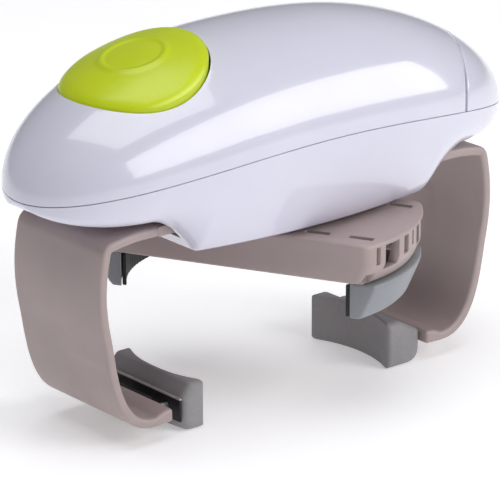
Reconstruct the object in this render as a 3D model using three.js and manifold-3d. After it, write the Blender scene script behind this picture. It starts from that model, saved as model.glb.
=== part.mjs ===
// Battery jar opener: a domed motor housing over a turning lid gripper, with two
// C-shaped arms that slide in under the housing and close on the jar.
// Millimetres, +Z up. The housing's flat underside is z = 0 while the pieces are built,
// and the whole object is lifted at the end so that it stands on its jar pads.
import * as THREE from 'three';
import { mergeVertices } from 'three/addons/utils/BufferGeometryUtils.js';
import { ParametricGeometry } from 'three/addons/geometries/ParametricGeometry.js';
import Module from 'manifold-3d';

const wasm = await Module();
wasm.setup();

// ---- driving dimensions -------------------------------------------------------------
const fit = 0.3;               // gap between pieces that touch
const slide = 0.4;             // gap beside pieces that slide
const wall = 2.2;              // housing wall

const bodyHalfLength = 92;
const bodyHalfWidth = 38.2;
const seamEndHeight = 19.3;    // seam between the shells: height at the ends
const seamRise = 10.7;         // and how much higher it arches at the middle
const crownHeight = 29.5;      // upper shell above the seam
const crownPeakX = -4.9;
const floorHalfLength = 45.2;  // flat underside
const floorBulge = 5.1;
const scoopEnd = 62;           // where the scoop behind each arm ends
const overhangHeight = 12.3;   // underside of nose and tail above the flat underside

const jarRadius = 41.5;
const lidRadius = 41.5;
const standHeight = 60;        // underside of the housing above the table

const armHalfWidth = 21.8;
const floorCornerHalfWidth = armHalfWidth + 2.8;  // so that the arms slide inside the floor
const armWall = 3.1;
const armReach = 78.9;         // outermost point of an arm
const armDrop = 54;            // lowest point of an arm
const lipEndX = 51.6;
const lipThickness = 4.3;
const plateTop = 9.5;          // sliding plate at the arm's top
const plateInnerX = 40;
const armTravelIn = 21;
const armTravelOut = 4;

const padHalfWidth = 19.5;
const padTop = 44.5;           // pad's inner top edge below the housing
const padSlope = 4.8;          // fall of the pad's top face towards the arm
const leftPadThickness = 4.6;
const padBackingThickness = 1.1;

const turntableAngle = -62;    // degrees
const turntableHalfWidth = 23.8;
const turntableRadius = 51;
const turntableFootRadius = 48.3;
const turntableTop = -1.4;
const turntableFoot = -14.7;
const turntableWall = 2.2;
const hubRadius = 10.5;

const jawHalfWidth = 20.6;
const jawOuterRadius = 50.6;
const jawFoot = -26.5;
const jawTravel = 24;
const linerThickness = 1.3;

const buttonX = -48.7;
const buttonHalfLength = 21.4;
const buttonHalfWidth = 24.3;
const buttonRise = 2.6;        // button's face above the crown
const buttonGap = 0.6;
const buttonTravel = 2;

const doorMiddleX = 69.5;      // battery door's front edge on the centre line
const doorSweep = 0.0124;      // how fast that edge curves forward, per mm

const spindleRadius = 2.5;
const rackModule = 1;
const armPinionTeeth = 16;
const jawPinionTeeth = 14;
const planetModule = 0.8;
const sunTeeth = 12;
const planetTeeth = 12;
const ringTeeth = sunTeeth + 2 * planetTeeth;
const planetCount = 3;
const mainTeeth = 42;
const trainModule = 0.6;
const smallPinionTeeth = 10;
const secondWheelTeeth = 32;
const firstWheelTeeth = 36;
const motorPinionTeeth = 12;

const lowerPlateBottom = 11.5;
const upperPlateBottom = 39.3;
const gearPlateThickness = 1.8;
const gearPinRadius = 1.2;

const motorX = -36;
const motorRadius = 10;
const motorLength = 24.8;

const cellLength = 50.5;
const cellRadius = 7.25;
const cellStartX = 25.6;
const cellAxisHeight = 25;

// ---- solids -------------------------------------------------------------------------
const rad = THREE.MathUtils.degToRad;

// Turns a closed three.js geometry into a solid with its faces pointing out.
function solid(geometry) {
  const bare = geometry.clone();
  bare.deleteAttribute('normal');
  bare.deleteAttribute('uv');
  const merged = mergeVertices(bare, 1e-4);
  const points = merged.attributes.position;
  const triangles = [];
  let volume = 0;
  const a = new THREE.Vector3();
  const b = new THREE.Vector3();
  const c = new THREE.Vector3();
  for (let i = 0; i < merged.index.count; i += 3) {
    const [p, q, r] = [0, 1, 2].map((k) => merged.index.getX(i + k));
    if (p === q || q === r || r === p) continue;
    triangles.push([p, q, r]);
    a.fromBufferAttribute(points, p);
    b.fromBufferAttribute(points, q);
    c.fromBufferAttribute(points, r);
    volume += a.dot(b.cross(c));
  }
  if (volume < 0) triangles.forEach((triangle) => triangle.reverse());
  return new wasm.Manifold(new wasm.Mesh({
    numProp: 3,
    vertProperties: new Float32Array(points.array),
    triVerts: new Uint32Array(triangles.flat()),
  }));
}

const join = (...solids) => solids.reduce((whole, piece) => whole.add(piece));
const cut = (whole, ...solids) => solids.reduce((rest, piece) => rest.subtract(piece), whole);
const common = (...solids) => solids.reduce((whole, piece) => whole.intersect(piece));

function box(x0, x1, y0, y1, z0, z1) {
  const geometry = new THREE.BoxGeometry(x1 - x0, y1 - y0, z1 - z0);
  return solid(geometry.translate((x0 + x1) / 2, (y0 + y1) / 2, (z0 + z1) / 2));
}

// Upright cylinder.
function disc(radius, z0, z1, x = 0, y = 0, sides = 24) {
  const geometry = new THREE.CylinderGeometry(radius, radius, z1 - z0, sides);
  return solid(geometry.rotateX(Math.PI / 2).translate(x, y, (z0 + z1) / 2));
}

// Cylinder along X.
function rod(radius, x0, x1, y, z, sides = 20) {
  const geometry = new THREE.CylinderGeometry(radius, radius, x1 - x0, sides);
  return solid(geometry.rotateZ(Math.PI / 2).translate((x0 + x1) / 2, y, z));
}

// Plan outline raised from z0 to z1.
function raise(shape, z0, z1, curveSegments = 16) {
  const geometry = new THREE.ExtrudeGeometry(shape, { depth: z1 - z0, bevelEnabled: false, curveSegments });
  return solid(geometry.translate(0, 0, z0));
}

// Side outline (x, z) carried from -halfWidth to +halfWidth along Y.
function sweepAcross(shape, halfWidth, curveSegments = 8) {
  const options = { depth: 2 * halfWidth, bevelEnabled: false, curveSegments };
  const geometry = new THREE.ExtrudeGeometry(shape, options);
  return solid(geometry.rotateX(Math.PI / 2).translate(0, halfWidth, 0));
}

// Turned solid about Z from [radius, z] points that start and end on the axis or close.
function turn(profile, sides = 48) {
  const points = profile.map(([r, z]) => new THREE.Vector2(r, z));
  return solid(new THREE.LatheGeometry(points, sides).rotateX(Math.PI / 2));
}

function outline(points) {
  return new THREE.Shape(points.map(([x, y]) => new THREE.Vector2(x, y)));
}

function ellipse(x, halfLength, halfWidth) {
  return new THREE.Shape().absellipse(x, 0, halfLength, halfWidth, 0, 2 * Math.PI, false, 0);
}

// Wire coil about a vertical axis.
function coil(radius, wire, turns, z0, z1) {
  class Helix extends THREE.Curve {
    getPoint(t, target = new THREE.Vector3()) {
      const angle = 2 * Math.PI * turns * t;
      return target.set(radius * Math.cos(angle), radius * Math.sin(angle), z0 + (z1 - z0) * t);
    }
  }
  const section = new THREE.Shape().absarc(0, 0, wire / 2, 0, 2 * Math.PI);
  const options = { steps: turns * 10, bevelEnabled: false, curveSegments: 3, extrudePath: new Helix() };
  return new THREE.ExtrudeGeometry(section, options);
}

// ---- gears --------------------------------------------------------------------------
const pitchRadius = (teeth, module) => teeth * module / 2;

// Trapezoid teeth: four points a tooth, the first tooth centred on the +X axis plus phase.
function toothRing(teeth, rootRadius, tipRadius, rootShare, tipShare, phase = 0) {
  const points = [];
  for (let i = 0; i < teeth; i += 1) {
    const pitch = 2 * Math.PI / teeth;
    const middle = phase + i * pitch;
    [[rootRadius, -rootShare], [tipRadius, -tipShare], [tipRadius, tipShare], [rootRadius, rootShare]]
      .forEach(([r, share]) => {
        const angle = middle + share * pitch / 2;
        points.push([r * Math.cos(angle), r * Math.sin(angle)]);
      });
  }
  return points;
}

function gear(teeth, module, z0, z1, phase = 0) {
  const r = pitchRadius(teeth, module);
  return raise(outline(toothRing(teeth, r - 1.15 * module, r + 0.8 * module, 0.56, 0.24, phase)), z0, z1);
}

// Planet set: teeth cut with running clearance all round.
function planetGear(teeth, z0, z1) {
  const r = pitchRadius(teeth, planetModule);
  return raise(outline(toothRing(teeth, r - 1.1 * planetModule, r - 0.2, 0.56, 0.3)), z0, z1);
}

// Rack along X whose teeth point to -Y and whose pitch line is y = pitchY.
function rack(pitchY, backY, x0, x1, toothFrom, toothTo, z0, z1) {
  const pitch = Math.PI * rackModule;
  const tip = pitchY - 0.8 * rackModule;
  const root = pitchY + 1.15 * rackModule;
  const points = [[x0, backY], [x0, root]];
  const first = Math.ceil(toothFrom / pitch - 0.5);
  const last = Math.floor(toothTo / pitch - 0.5);
  for (let i = first; i <= last; i += 1) {
    const x = (i + 0.5) * pitch;
    points.push([x - 0.28 * pitch, root], [x - 0.12 * pitch, tip]);
    points.push([x + 0.12 * pitch, tip], [x + 0.28 * pitch, root]);
  }
  points.push([x1, root], [x1, backY]);
  return raise(outline(points), z0, z1);
}

// ---- housing form -------------------------------------------------------------------
const seamHeight = (x) => seamEndHeight + seamRise * (1 - (x / bodyHalfLength) ** 2);
const planHalfWidth = (x, inset) =>
  (bodyHalfWidth - inset) * Math.sqrt(Math.max(0, 1 - Math.abs(x / (bodyHalfLength - inset)) ** 3.03));

function crownRise(x, inset) {
  const end = Math.sign(x - crownPeakX) * (bodyHalfLength - inset);
  const share = Math.min(1, Math.abs((x - crownPeakX) / (end - crownPeakX)));
  return (crownHeight - inset) * Math.sqrt(1 - share ** 2.93);
}

// Closed skin through cross-sections: section(x, k) gives the k-th point round the one at x.
function loft(stations, count, section) {
  const steps = stations.length - 1;
  const skin = (u, v, target) => {
    const x = stations[Math.round(v * steps)];
    const [y, z] = section(x, Math.round(u * count) % count);
    target.set(x, y, z);
  };
  return solid(new ParametricGeometry(skin, count, steps));
}

// Stations from the body's end, close together where it rounds off, evenly spaced elsewhere.
function crownStations(inset) {
  const steps = 22;
  const end = bodyHalfLength - inset;
  return Array.from({ length: steps + 1 }, (_, i) => -end * Math.cos(Math.PI * i / steps));
}

function hullStations(inset) {
  const half = [];
  for (let i = 1; i <= 4; i += 1) half.push(floorHalfLength * i / 4);
  for (let i = 1; i <= 4; i += 1) half.push(floorHalfLength + (scoopEnd - floorHalfLength) * i / 4);
  const tail = bodyHalfLength - inset - scoopEnd;
  for (let i = 1; i <= 6; i += 1) half.push(scoopEnd + tail * Math.sin(Math.PI / 2 * i / 6));
  return [...half.map((x) => -x).reverse(), 0, ...half];
}

// Space inside the upper shell's surface, moved in by inset and started drop below the seam.
function crownForm(inset, drop) {
  const arcPoints = 14;
  return loft(crownStations(inset), arcPoints + 3, (x, k) => {
    const b = planHalfWidth(x, inset);
    if (k > arcPoints) return [k === arcPoints + 1 ? -b : b, seamHeight(x) - drop];
    const angle = Math.PI * k / arcPoints;
    const across = Math.sign(Math.cos(angle)) * Math.abs(Math.cos(angle)) ** (2 / 2.1);
    const up = Math.abs(Math.sin(angle)) ** (2 / 2.09);
    return [b * across, seamHeight(x) + Math.max(0, -drop) + crownRise(x, inset) * up];
  });
}

function undersideHeight(x, inset) {
  const out = Math.abs(x);
  if (out <= floorHalfLength) return inset;
  if (out <= scoopEnd) {
    const share = (out - floorHalfLength) / (scoopEnd - floorHalfLength);
    return inset + overhangHeight * (1 - (1 - share) ** 2);
  }
  const share = Math.min(1, (out - scoopEnd) / (bodyHalfLength - inset - scoopEnd));
  const start = overhangHeight + inset;
  return start + (seamEndHeight - start) * (1 - Math.sqrt(1 - share ** 2.5));
}

function undersideHalfWidth(x, inset) {
  const out = Math.abs(x);
  if (out <= floorHalfLength) {
    return floorCornerHalfWidth - inset + floorBulge * (1 - (out / floorHalfLength) ** 2);
  }
  const share = Math.min(1, (out - floorHalfLength) / (bodyHalfLength - inset - floorHalfLength));
  return (floorCornerHalfWidth - inset) * Math.sqrt(1 - share ** 2);
}

// Space inside the lower shell's surface, carried rise above the seam.
function hullForm(inset, rise) {
  const curvePoints = 4;
  const half = [];
  for (let i = 0; i <= curvePoints; i += 1) half.push(i / curvePoints);
  const count = 2 * half.length + (rise > 0 ? 2 : 0);
  return loft(hullStations(inset), count, (x, k) => {
    const b = planHalfWidth(x, inset);
    const top = seamHeight(x) + Math.min(0, rise);
    const e = Math.min(undersideHalfWidth(x, inset), 0.98 * b);
    const foot = Math.min(undersideHeight(x, inset), top);
    if (k >= 2 * half.length) return [k === count - 1 ? b : -b, top + rise];
    const mirrored = k >= half.length;
    const t = mirrored ? 1 - half[k - half.length] : half[k];
    const bowl = 0.35 + 0.45 * Math.min(1, Math.max(0, (Math.abs(x) - 30) / 40));
    const midY = (b + e) / 2 + bowl * (b - e) / 2;
    const midZ = (top + foot) / 2 + bowl * (foot - top) / 2;
    const y = (1 - t) ** 2 * b + 2 * t * (1 - t) * midY + t ** 2 * e;
    const z = (1 - t) ** 2 * top + 2 * t * (1 - t) * midZ + t ** 2 * foot;
    return [mirrored ? -y : y, z];
  });
}

// ---- scene --------------------------------------------------------------------------
const looks = {
  white: [0xecebf3, 0.28, 0],
  lime: [0xc8da24, 0.3, 0],
  taupe: [0xb3a39f, 0.5, 0],
  padGrey: [0x8b8b8b, 0.8, 0],
  jawGrey: [0x7d8587, 0.55, 0],
  black: [0x161616, 0.75, 0],
  steel: [0xb9bcc0, 0.3, 1],
  brass: [0xc2a14d, 0.35, 1],
  nylon: [0xe9e4d6, 0.5, 0],
  board: [0x2d6b3c, 0.6, 0],
  cell: [0x2b2d33, 0.4, 0],
};

const object = new THREE.Group();
object.position.z = standHeight;
const leftSide = new THREE.Group();
leftSide.rotation.z = Math.PI;
object.add(leftSide);
const turntable = new THREE.Group();
turntable.rotation.z = rad(turntableAngle);
object.add(turntable);
const turntableBack = new THREE.Group();
turntableBack.rotation.z = rad(turntableAngle + 180);
object.add(turntableBack);

function add(name, shape, look, parent = object) {
  const [color, roughness, metalness] = looks[look];
  let geometry = shape;
  if (!shape.isBufferGeometry) {
    const { vertProperties, triVerts } = shape.getMesh();
    geometry = new THREE.BufferGeometry();
    geometry.setAttribute('position', new THREE.Float32BufferAttribute(vertProperties, 3));
    geometry.setIndex([...triVerts]);
  }
  const mesh = new THREE.Mesh(geometry, new THREE.MeshStandardMaterial({ color, roughness, metalness }));
  mesh.name = name;
  parent.add(mesh);
}

// ---- where the screws and gears stand -----------------------------------------------
const bossRadius = 3.1;
const bossY = armHalfWidth + slide + bossRadius;
const screwHole = 1.3;
const housingScrewX = 24;
const plateScrewXs = [-34, 12];
const headRecess = 2.45;
const seamGap = fit / 2;

const headUpScrew = (x, y, seat, length) => join(
  disc(2.1, seat, seat + 1.6, x, y, 12),
  disc(1, seat - length, seat + 0.1, x, y, 8),
);
const headDownScrew = (x, y, seat, length) => join(
  disc(2.1, seat - 1.6, seat, x, y, 12),
  disc(1, seat - 0.1, seat + length, x, y, 8),
);

// Point at distance p from one axis and q from another.
function meetingPoint(one, p, other, q) {
  const gap = other.clone().sub(one);
  const d = gap.length();
  const along = (p * p - q * q + d * d) / (2 * d);
  const off = Math.sqrt(p * p - along * along);
  gap.divideScalar(d);
  return new THREE.Vector2(one.x + along * gap.x + off * gap.y, one.y + along * gap.y - off * gap.x);
}

const centre = new THREE.Vector2(0, 0);
const motorAxis = new THREE.Vector2(motorX, 0);
const secondToMain = pitchRadius(smallPinionTeeth + mainTeeth, planetModule);
const firstToSecond = pitchRadius(smallPinionTeeth + secondWheelTeeth, trainModule);
const motorToFirst = pitchRadius(motorPinionTeeth + firstWheelTeeth, trainModule);
const secondAngle = rad(134);
const secondAxis = new THREE.Vector2(Math.cos(secondAngle), Math.sin(secondAngle))
  .multiplyScalar(secondToMain);
const firstAxis = meetingPoint(motorAxis, motorToFirst, secondAxis, firstToSecond);

// ---- housing ------------------------------------------------------------------------
const crownSpace = crownForm(wall, 3);
const hullSpace = hullForm(wall, 3);
const hullSkin = hullForm(0, -seamGap);

function lowerHousing() {
  const slotHalfWidth = armHalfWidth + slide;
  const slotTop = plateTop + slide;
  const slotFoot = plateTop - armWall - 1.9;
  const armSlot = (side) => box(
    Math.min(side * (floorHalfLength - 2), side * scoopEnd),
    Math.max(side * (floorHalfLength - 2), side * scoopEnd),
    -slotHalfWidth, slotHalfWidth, slotFoot, slotTop,
  );
  let shell = cut(hullSkin, hullSpace, armSlot(-1), armSlot(1), disc(hubRadius + slide, -1, wall + 1));
  const bosses = [];
  const holes = [];
  for (const y of [-bossY, bossY]) {
    for (const x of [-housingScrewX, housingScrewX]) {
      bosses.push(disc(bossRadius, 0.1, seamHeight(x) - seamGap - 0.1, x, y, 12));
      holes.push(disc(screwHole, -1, 40, x, y, 12), disc(headRecess, -1, wall + 0.5, x, y, 12));
    }
    plateScrewXs.forEach((x, i) => {
      bosses.push(disc(bossRadius, 1, lowerPlateBottom - fit, x, y, 12));
      const screwed = (i === 0) === (y < 0);
      if (screwed) holes.push(disc(screwHole, wall + 1.5, lowerPlateBottom, x, y, 12));
      else bosses.push(disc(1, lowerPlateBottom - 1, lowerPlateBottom + gearPlateThickness, x, y, 12));
    });
  }
  for (const y of [-1, 1]) {
    bosses.push(disc(2.2, overhangHeight + 0.6, switchBoardBottom - fit, switchPostX, y * switchPostY, 16));
    bosses.push(disc(1, switchBoardBottom - 1, switchBoardTop + 0.8, switchPostX, y * switchPostY, 12));
    for (const side of [-1, 1]) {
      const near = side * (plateInnerX - 14);
      const far = side * (plateInnerX - 3);
      bosses.push(box(Math.min(near, far), Math.max(near, far), y * 18 - 1.5, y * 18 + 1.5, 1,
        plateTop - armWall - fit));
    }
  }
  bosses.push(common(box(58, 64, -12, 12, overhangHeight, trayBottom - fit), hullForm(1, 0)));
  return cut(join(shell, common(join(...bosses), join(hullForm(0.4, -seamGap - 0.1), crownSpace))), ...holes);
}

function doorRegion(offset) {
  const points = [];
  for (let y = -45; y <= 45; y += 7.5) points.push([doorMiddleX + offset - doorSweep * y * y, y]);
  points.push([bodyHalfLength + 10, 45], [bodyHalfLength + 10, -45]);
  return raise(outline(points), 0, 80);
}

function upperHousing() {
  const opening = raise(ellipse(buttonX, buttonHalfLength + buttonGap, buttonHalfWidth + buttonGap), 20, 80);
  const shell = cut(crownForm(0, -seamGap), crownSpace);
  const bosses = [];
  const holes = [];
  for (const y of [-bossY, bossY]) {
    for (const x of [-housingScrewX, housingScrewX]) {
      bosses.push(disc(bossRadius, seamHeight(x) + seamGap + 0.1, 60, x, y, 12));
      holes.push(disc(screwHole, 20, housingScrewTop + 1, x, y, 12));
    }
  }
  const ringed = join(shell, common(join(...bosses), crownForm(0.5, -seamGap - 0.05)));
  return cut(ringed, ...holes, opening, doorRegion(0));
}

function batteryDoor() {
  const shell = cut(crownForm(0, -seamGap), crownSpace);
  const contactWall = common(
    box(doorWallX, doorWallX + 1.6, -13, 13, cellAxisHeight - 1, 60),
    crownForm(1, 0),
  );
  return common(join(shell, contactWall), doorRegion(slide));
}

// ---- power button and switch --------------------------------------------------------
const switchX = buttonX - 3;
const switchPostX = switchX - 4.5;
const switchPostY = 11;
const switchBoardBottom = 37.3;
const switchBoardTop = switchBoardBottom + 1.6;
const switchBodyTop = switchBoardTop + fit + 3.7;
const plungerTop = switchBodyTop + 2.7;
const springSeat = plungerTop + 4.6;

function powerButton() {
  const cap = common(
    cut(crownForm(-buttonRise, 0), crownForm(0.6, 3)),
    raise(ellipse(buttonX, buttonHalfLength, buttonHalfWidth), 30, 80),
  );
  const collar = common(
    cut(crownForm(-buttonRise / 2, 0), crownForm(wall + 2, 3)),
    cut(
      raise(ellipse(buttonX, buttonHalfLength, buttonHalfWidth), 30, 80, 10),
      raise(ellipse(buttonX, buttonHalfLength - 1.6, buttonHalfWidth - 1.6), 30, 80),
    ),
  );
  const tabs = common(
    cut(crownForm(wall + 0.6, 0), crownForm(wall + 2, 3)),
    cut(
      box(buttonX - 4, buttonX + 4, -buttonHalfWidth - 1.6, buttonHalfWidth + 1.6, 30, 80),
      box(buttonX - 5, buttonX + 5, -buttonHalfWidth + 1.6, buttonHalfWidth - 1.6, 29, 81),
    ),
  );
  const stem = common(
    join(
      disc(2, plungerTop + fit, 70, switchX, 0, 16),
      cut(disc(6.4, springSeat, 70, switchX, 0, 24), disc(4.2, springSeat - 1, 70, switchX, 0, 24)),
    ),
    crownForm(0, 0),
  );
  return join(cap, collar, tabs, stem);
}

function addSwitch() {
  const board = cut(
    box(switchPostX - 4, motorX - motorRadius - 0.6, -14, 14, switchBoardBottom, switchBoardTop),
    disc(screwHole, 30, 50, switchPostX, -switchPostY, 12),
    disc(screwHole, 30, 50, switchPostX, switchPostY, 12),
  );
  add('switch_board', board, 'board');
  const foot = switchBoardTop + fit;
  const well = disc(2.2, switchBodyTop - 2.9, switchBodyTop + 1, switchX, 0, 16);
  add('switch_body', cut(box(switchX - 3.2, switchX + 3.2, -3.2, 3.2, foot, switchBodyTop), well), 'black');
  add('switch_plunger', disc(1.8, switchBodyTop - 0.6, plungerTop, switchX, 0, 16), 'padGrey');
  const spring = coil(5.3, 0.8, 4, switchBoardTop + 0.8, springSeat - 0.8);
  add('button_spring', solid(spring.translate(switchX, 0, 0)), 'steel');
}

// ---- arms and jar pads --------------------------------------------------------------
// One arm as it stands on the right; the left arm is the same piece turned half round.
function arm() {
  const inner = plateTop - armWall;
  const lipFoot = -armDrop + 0.2;
  const lipTop = lipFoot + lipThickness;
  const band = new THREE.Shape();
  band.moveTo(58, plateTop);
  band.lineTo(64, plateTop);
  band.lineTo(armReach - 5.3, plateTop - 1.3);
  band.quadraticCurveTo(armReach - 2.1, plateTop - 2, armReach - 1.5, 3.5);
  band.quadraticCurveTo(armReach + 1.3, -9, armReach - 1.6, -22.6);
  band.bezierCurveTo(armReach - 3.7, -33, armReach - 4.9, -armDrop - 0.3, 58, -armDrop);
  band.lineTo(lipEndX, lipFoot);
  band.lineTo(lipEndX, lipTop);
  band.lineTo(lipEndX + 1.6, lipTop);
  band.quadraticCurveTo(lipEndX + 3.6, lipTop, 58, lipTop - 1.5);
  band.bezierCurveTo(armReach - 8.4, lipTop - 1.9, armReach - 6.7, -33, armReach - 1.6 - armWall, -22);
  band.quadraticCurveTo(armReach + 1.3 - armWall, -9, armReach - 1.5 - armWall, 3);
  band.quadraticCurveTo(armReach - 1.8 - armWall, inner - 1.2, armReach - 5.3, inner - 1.3);
  band.lineTo(64, inner);
  band.lineTo(58, inner);
  const pinion = pitchRadius(armPinionTeeth, rackModule);
  const rackPitchY = pinion + 0.15;
  const rackBack = rackPitchY + 5.4;
  const rackTip = -(armTravelOut + 5);
  const notchInner = rackPitchY - 1.6;
  const notchOuter = rackBack + 0.7;
  const notchEnd = plateInnerX + armTravelIn + armTravelOut - 9;
  const plate = cut(
    box(plateInnerX, 60, -armHalfWidth, armHalfWidth, inner, plateTop),
    box(plateInnerX - 1, notchEnd, -notchOuter, -notchInner, inner - 1, plateTop + 1),
  );
  const teeth = rack(
    rackPitchY, rackBack, rackTip, plateInnerX + 2, rackTip + 1, armTravelIn + 7, inner, plateTop,
  );
  const pinHoles = [-padPinY, padPinY].map((y) =>
    rod(padPinRadius + slide, 40, lipEndX + 6.2, y, padPinHeight, 12));
  return cut(join(sweepAcross(band, armHalfWidth), plate, teeth), ...pinHoles);
}

const padPinY = 13;
const padPinRadius = 1.1;
const padPinHeight = -armDrop - 0.15 + lipThickness / 2;

function pad(outerX) {
  const side = new THREE.Shape();
  const foot = -standHeight;
  side.moveTo(jarRadius - 12, -padTop);
  side.lineTo(jarRadius + 1.2, -padTop);
  side.lineTo(outerX, -padTop - padSlope);
  side.lineTo(outerX, foot + 4.5);
  side.quadraticCurveTo(outerX, foot, outerX - 4, foot);
  side.lineTo(jarRadius - 12, foot);
  return cut(sweepAcross(side, padHalfWidth, 5), disc(jarRadius, foot - 1, 0, 0, 0, 96));
}

function addArmsAndPads() {
  add('right_arm', arm(), 'taupe');
  add('left_arm', arm(), 'taupe', leftSide);
  const pinHole = (y, end) => rod(padPinRadius + fit, end - 3, end + 1, y, padPinHeight, 12);
  const rightOuter = lipEndX - fit;
  const pegs = [-padPinY, padPinY].map((y) =>
    rod(padPinRadius, rightOuter - 1, lipEndX + 5, y, padPinHeight, 12));
  add('right_jar_pad', join(pad(rightOuter), ...pegs), 'padGrey');
  const leftOuter = jarRadius + leftPadThickness;
  add('left_jar_pad', pad(leftOuter), 'padGrey', leftSide);
  const backingInner = leftOuter + fit;
  const backingOuter = backingInner + padBackingThickness;
  const backing = cut(
    box(backingInner, backingOuter, -padHalfWidth, padHalfWidth, -standHeight + 4, -padTop - padSlope + 1),
    pinHole(-padPinY, backingOuter), pinHole(padPinY, backingOuter),
  );
  add('left_pad_backing', backing, 'steel', leftSide);
  const bufferOuter = lipEndX - fit;
  const bufferBack = bufferOuter - 1.2;
  const ribFace = backingOuter + padFloat + fit;
  const ribs = [-7, -3.5, 0, 3.5, 7].map((y) =>
    box(ribFace, bufferBack + 0.2, y - 0.8, y + 0.8, padPinHeight - 1.8, padPinHeight + 1.8));
  const buffer = join(box(bufferBack, bufferOuter, -9, 9, padPinHeight - 2, padPinHeight + 2), ...ribs);
  add('left_pad_buffer', buffer, 'black', leftSide);
  [-padPinY, padPinY].forEach((y, i) => {
    add(`left_pad_pin_${i + 1}`, rod(padPinRadius, backingInner + 0.2, lipEndX + 3.6, y, padPinHeight, 12),
      'steel', leftSide);
  });
}
const padFloat = 2;

// ---- turntable and lid jaws, along their own X --------------------------------------
function turntableBody() {
  const edge = 0.8;
  const disk = turn([
    [0, turntableFoot], [turntableFootRadius, turntableFoot],
    [turntableFootRadius + 1.2, turntableFoot + 2.4],
    [turntableRadius, turntableTop - 3], [turntableRadius, turntableTop - edge],
    [turntableRadius - edge, turntableTop], [0, turntableTop],
  ], 48);
  const across = outline([
    [-turntableHalfWidth + 1.2, turntableFoot], [turntableHalfWidth - 1.2, turntableFoot],
    [turntableHalfWidth, turntableFoot + 1.8], [turntableHalfWidth, turntableTop - edge],
    [turntableHalfWidth - edge, turntableTop], [-turntableHalfWidth + edge, turntableTop],
    [-turntableHalfWidth, turntableTop - edge], [-turntableHalfWidth, turntableFoot + 1.8],
  ]);
  const bar = new THREE.ExtrudeGeometry(across, { depth: 110, bevelEnabled: false });
  const barSolid = solid(bar.rotateX(Math.PI / 2).rotateZ(Math.PI / 2).translate(-55, 0, 0));
  const roof = turntableTop - turntableWall;
  const cavityHalfWidth = turntableHalfWidth - turntableWall;
  const cavity = common(
    turn([
      [0, turntableFoot - 1], [turntableFootRadius - turntableWall, turntableFoot - 1],
      [turntableRadius - turntableWall, roof], [0, roof],
    ], 48),
    box(-60, 60, -cavityHalfWidth, cavityHalfWidth, turntableFoot - 2, roof + 1),
  );
  const hub = turn([
    [0, roof], [hubRadius, roof], [hubRadius, wall + fit], [hubRadius - 1.2, wall + fit],
    [hubRadius - 1.2, wall + 2.4], [hubRadius - 0.4, wall + 2.4], [hubRadius - 0.4, wall + 3], [0, wall + 3],
  ]);
  const posts = [-1, 1].map((side) => disc(2.6, coverTop + fit, roof + 1, 0, side * coverScrewY, 16));
  const postHoles = [-1, 1].map((side) =>
    disc(screwHole, turntableFoot - 1, roof - 1, 0, side * coverScrewY, 12));
  // Windows: [middle across the bar, width, foot, head], the same on both ends.
  const windows = [
    [19.5, 1.7, turntableTop - 7, turntableTop - 1.4],
    [13, 7, turntableTop - 9.2, turntableTop - 1.4],
    [5, 3, turntableTop - 7.3, turntableTop - 1.4],
    [0, 1.2, turntableTop - 6, turntableTop - 1.4],
  ].flatMap(([y, width, foot, head]) => [...new Set([-y, y])].flatMap((middle) => [-1, 1].map((end) => box(
    Math.min(end * 40, end * 55), Math.max(end * 40, end * 55),
    middle - width / 2, middle + width / 2, foot, head,
  ))));
  const topSlots = [26.3, 40.5].flatMap((x) => [-1, 1].flatMap((end) => [-1, 1].map((side) => box(
    end * x - 4, end * x + 4, side * 17 - 1.2, side * 17 + 1.2, roof - 1, turntableTop + 1,
  ))));
  return cut(
    join(cut(common(disk, barSolid), cavity), hub, ...posts),
    ...windows, ...topSlots, ...postHoles, disc(spindleRadius + fit, -20, 10, 0, 0, 24),
  );
}

const coverTop = turntableFoot + 1.4;
const coverScrewY = 17.5;
const neckInnerY = 8.4;
const neckOuterY = 12.4;
const neckInnerX = 40;
const neckOuterX = 44;

function turntableCover() {
  const cavityHalfWidth = turntableHalfWidth - turntableWall;
  const radius = turntableFootRadius - turntableWall - fit;
  const slot = (side) => box(
    Math.min(side * (neckInnerX - jawTravel - 0.6), side * 60),
    Math.max(side * (neckInnerX - jawTravel - 0.6), side * 60),
    Math.min(side * (neckInnerY - slide), side * (neckOuterY + slide)),
    Math.max(side * (neckInnerY - slide), side * (neckOuterY + slide)),
    turntableFoot - 1, coverTop + 1,
  );
  const plate = common(
    disc(radius, turntableFoot + 0.1, coverTop, 0, 0, 48),
    box(-60, 60, -cavityHalfWidth + fit, cavityHalfWidth - fit, turntableFoot - 1, 0),
  );
  const holes = [-1, 1].flatMap((side) => [
    disc(screwHole, -30, 0, 0, side * coverScrewY, 12),
    disc(headRecess, -30, turntableFoot + 0.7, 0, side * coverScrewY, 16),
  ]);
  return cut(plate, slot(1), slot(-1), disc(spindleRadius + fit, -30, 0, 0, 0, 24), ...holes);
}

function jaw() {
  const top = turntableFoot - fit;
  const innerRadius = lidRadius + linerThickness + fit;
  const ring = turn([
    [innerRadius, top], [jawOuterRadius, top], [jawOuterRadius, top - 1.4],
    [jawOuterRadius - 3.6, jawFoot + 1.2], [jawOuterRadius - 4.8, jawFoot], [innerRadius, jawFoot],
    [innerRadius, top],
  ], 96);
  const body = common(ring, box(20, 60, -jawHalfWidth, jawHalfWidth, jawFoot - 1, top + 1));
  const neck = box(neckInnerX, neckOuterX, neckInnerY, neckOuterY, top - 3, jawRackTop);
  const pitchY = pitchRadius(jawPinionTeeth, rackModule) + 0.15;
  const teeth = rack(pitchY, neckOuterY, -9, neckOuterX, -3, jawTravel + 7, jawRackFoot, jawRackTop);
  return join(body, cut(neck, turn([[0, -40], [innerRadius, -40], [innerRadius, top], [0, top]], 96)), teeth);
}

const jawRackTop = -5.6;
const jawRackFoot = -9.6;

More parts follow.
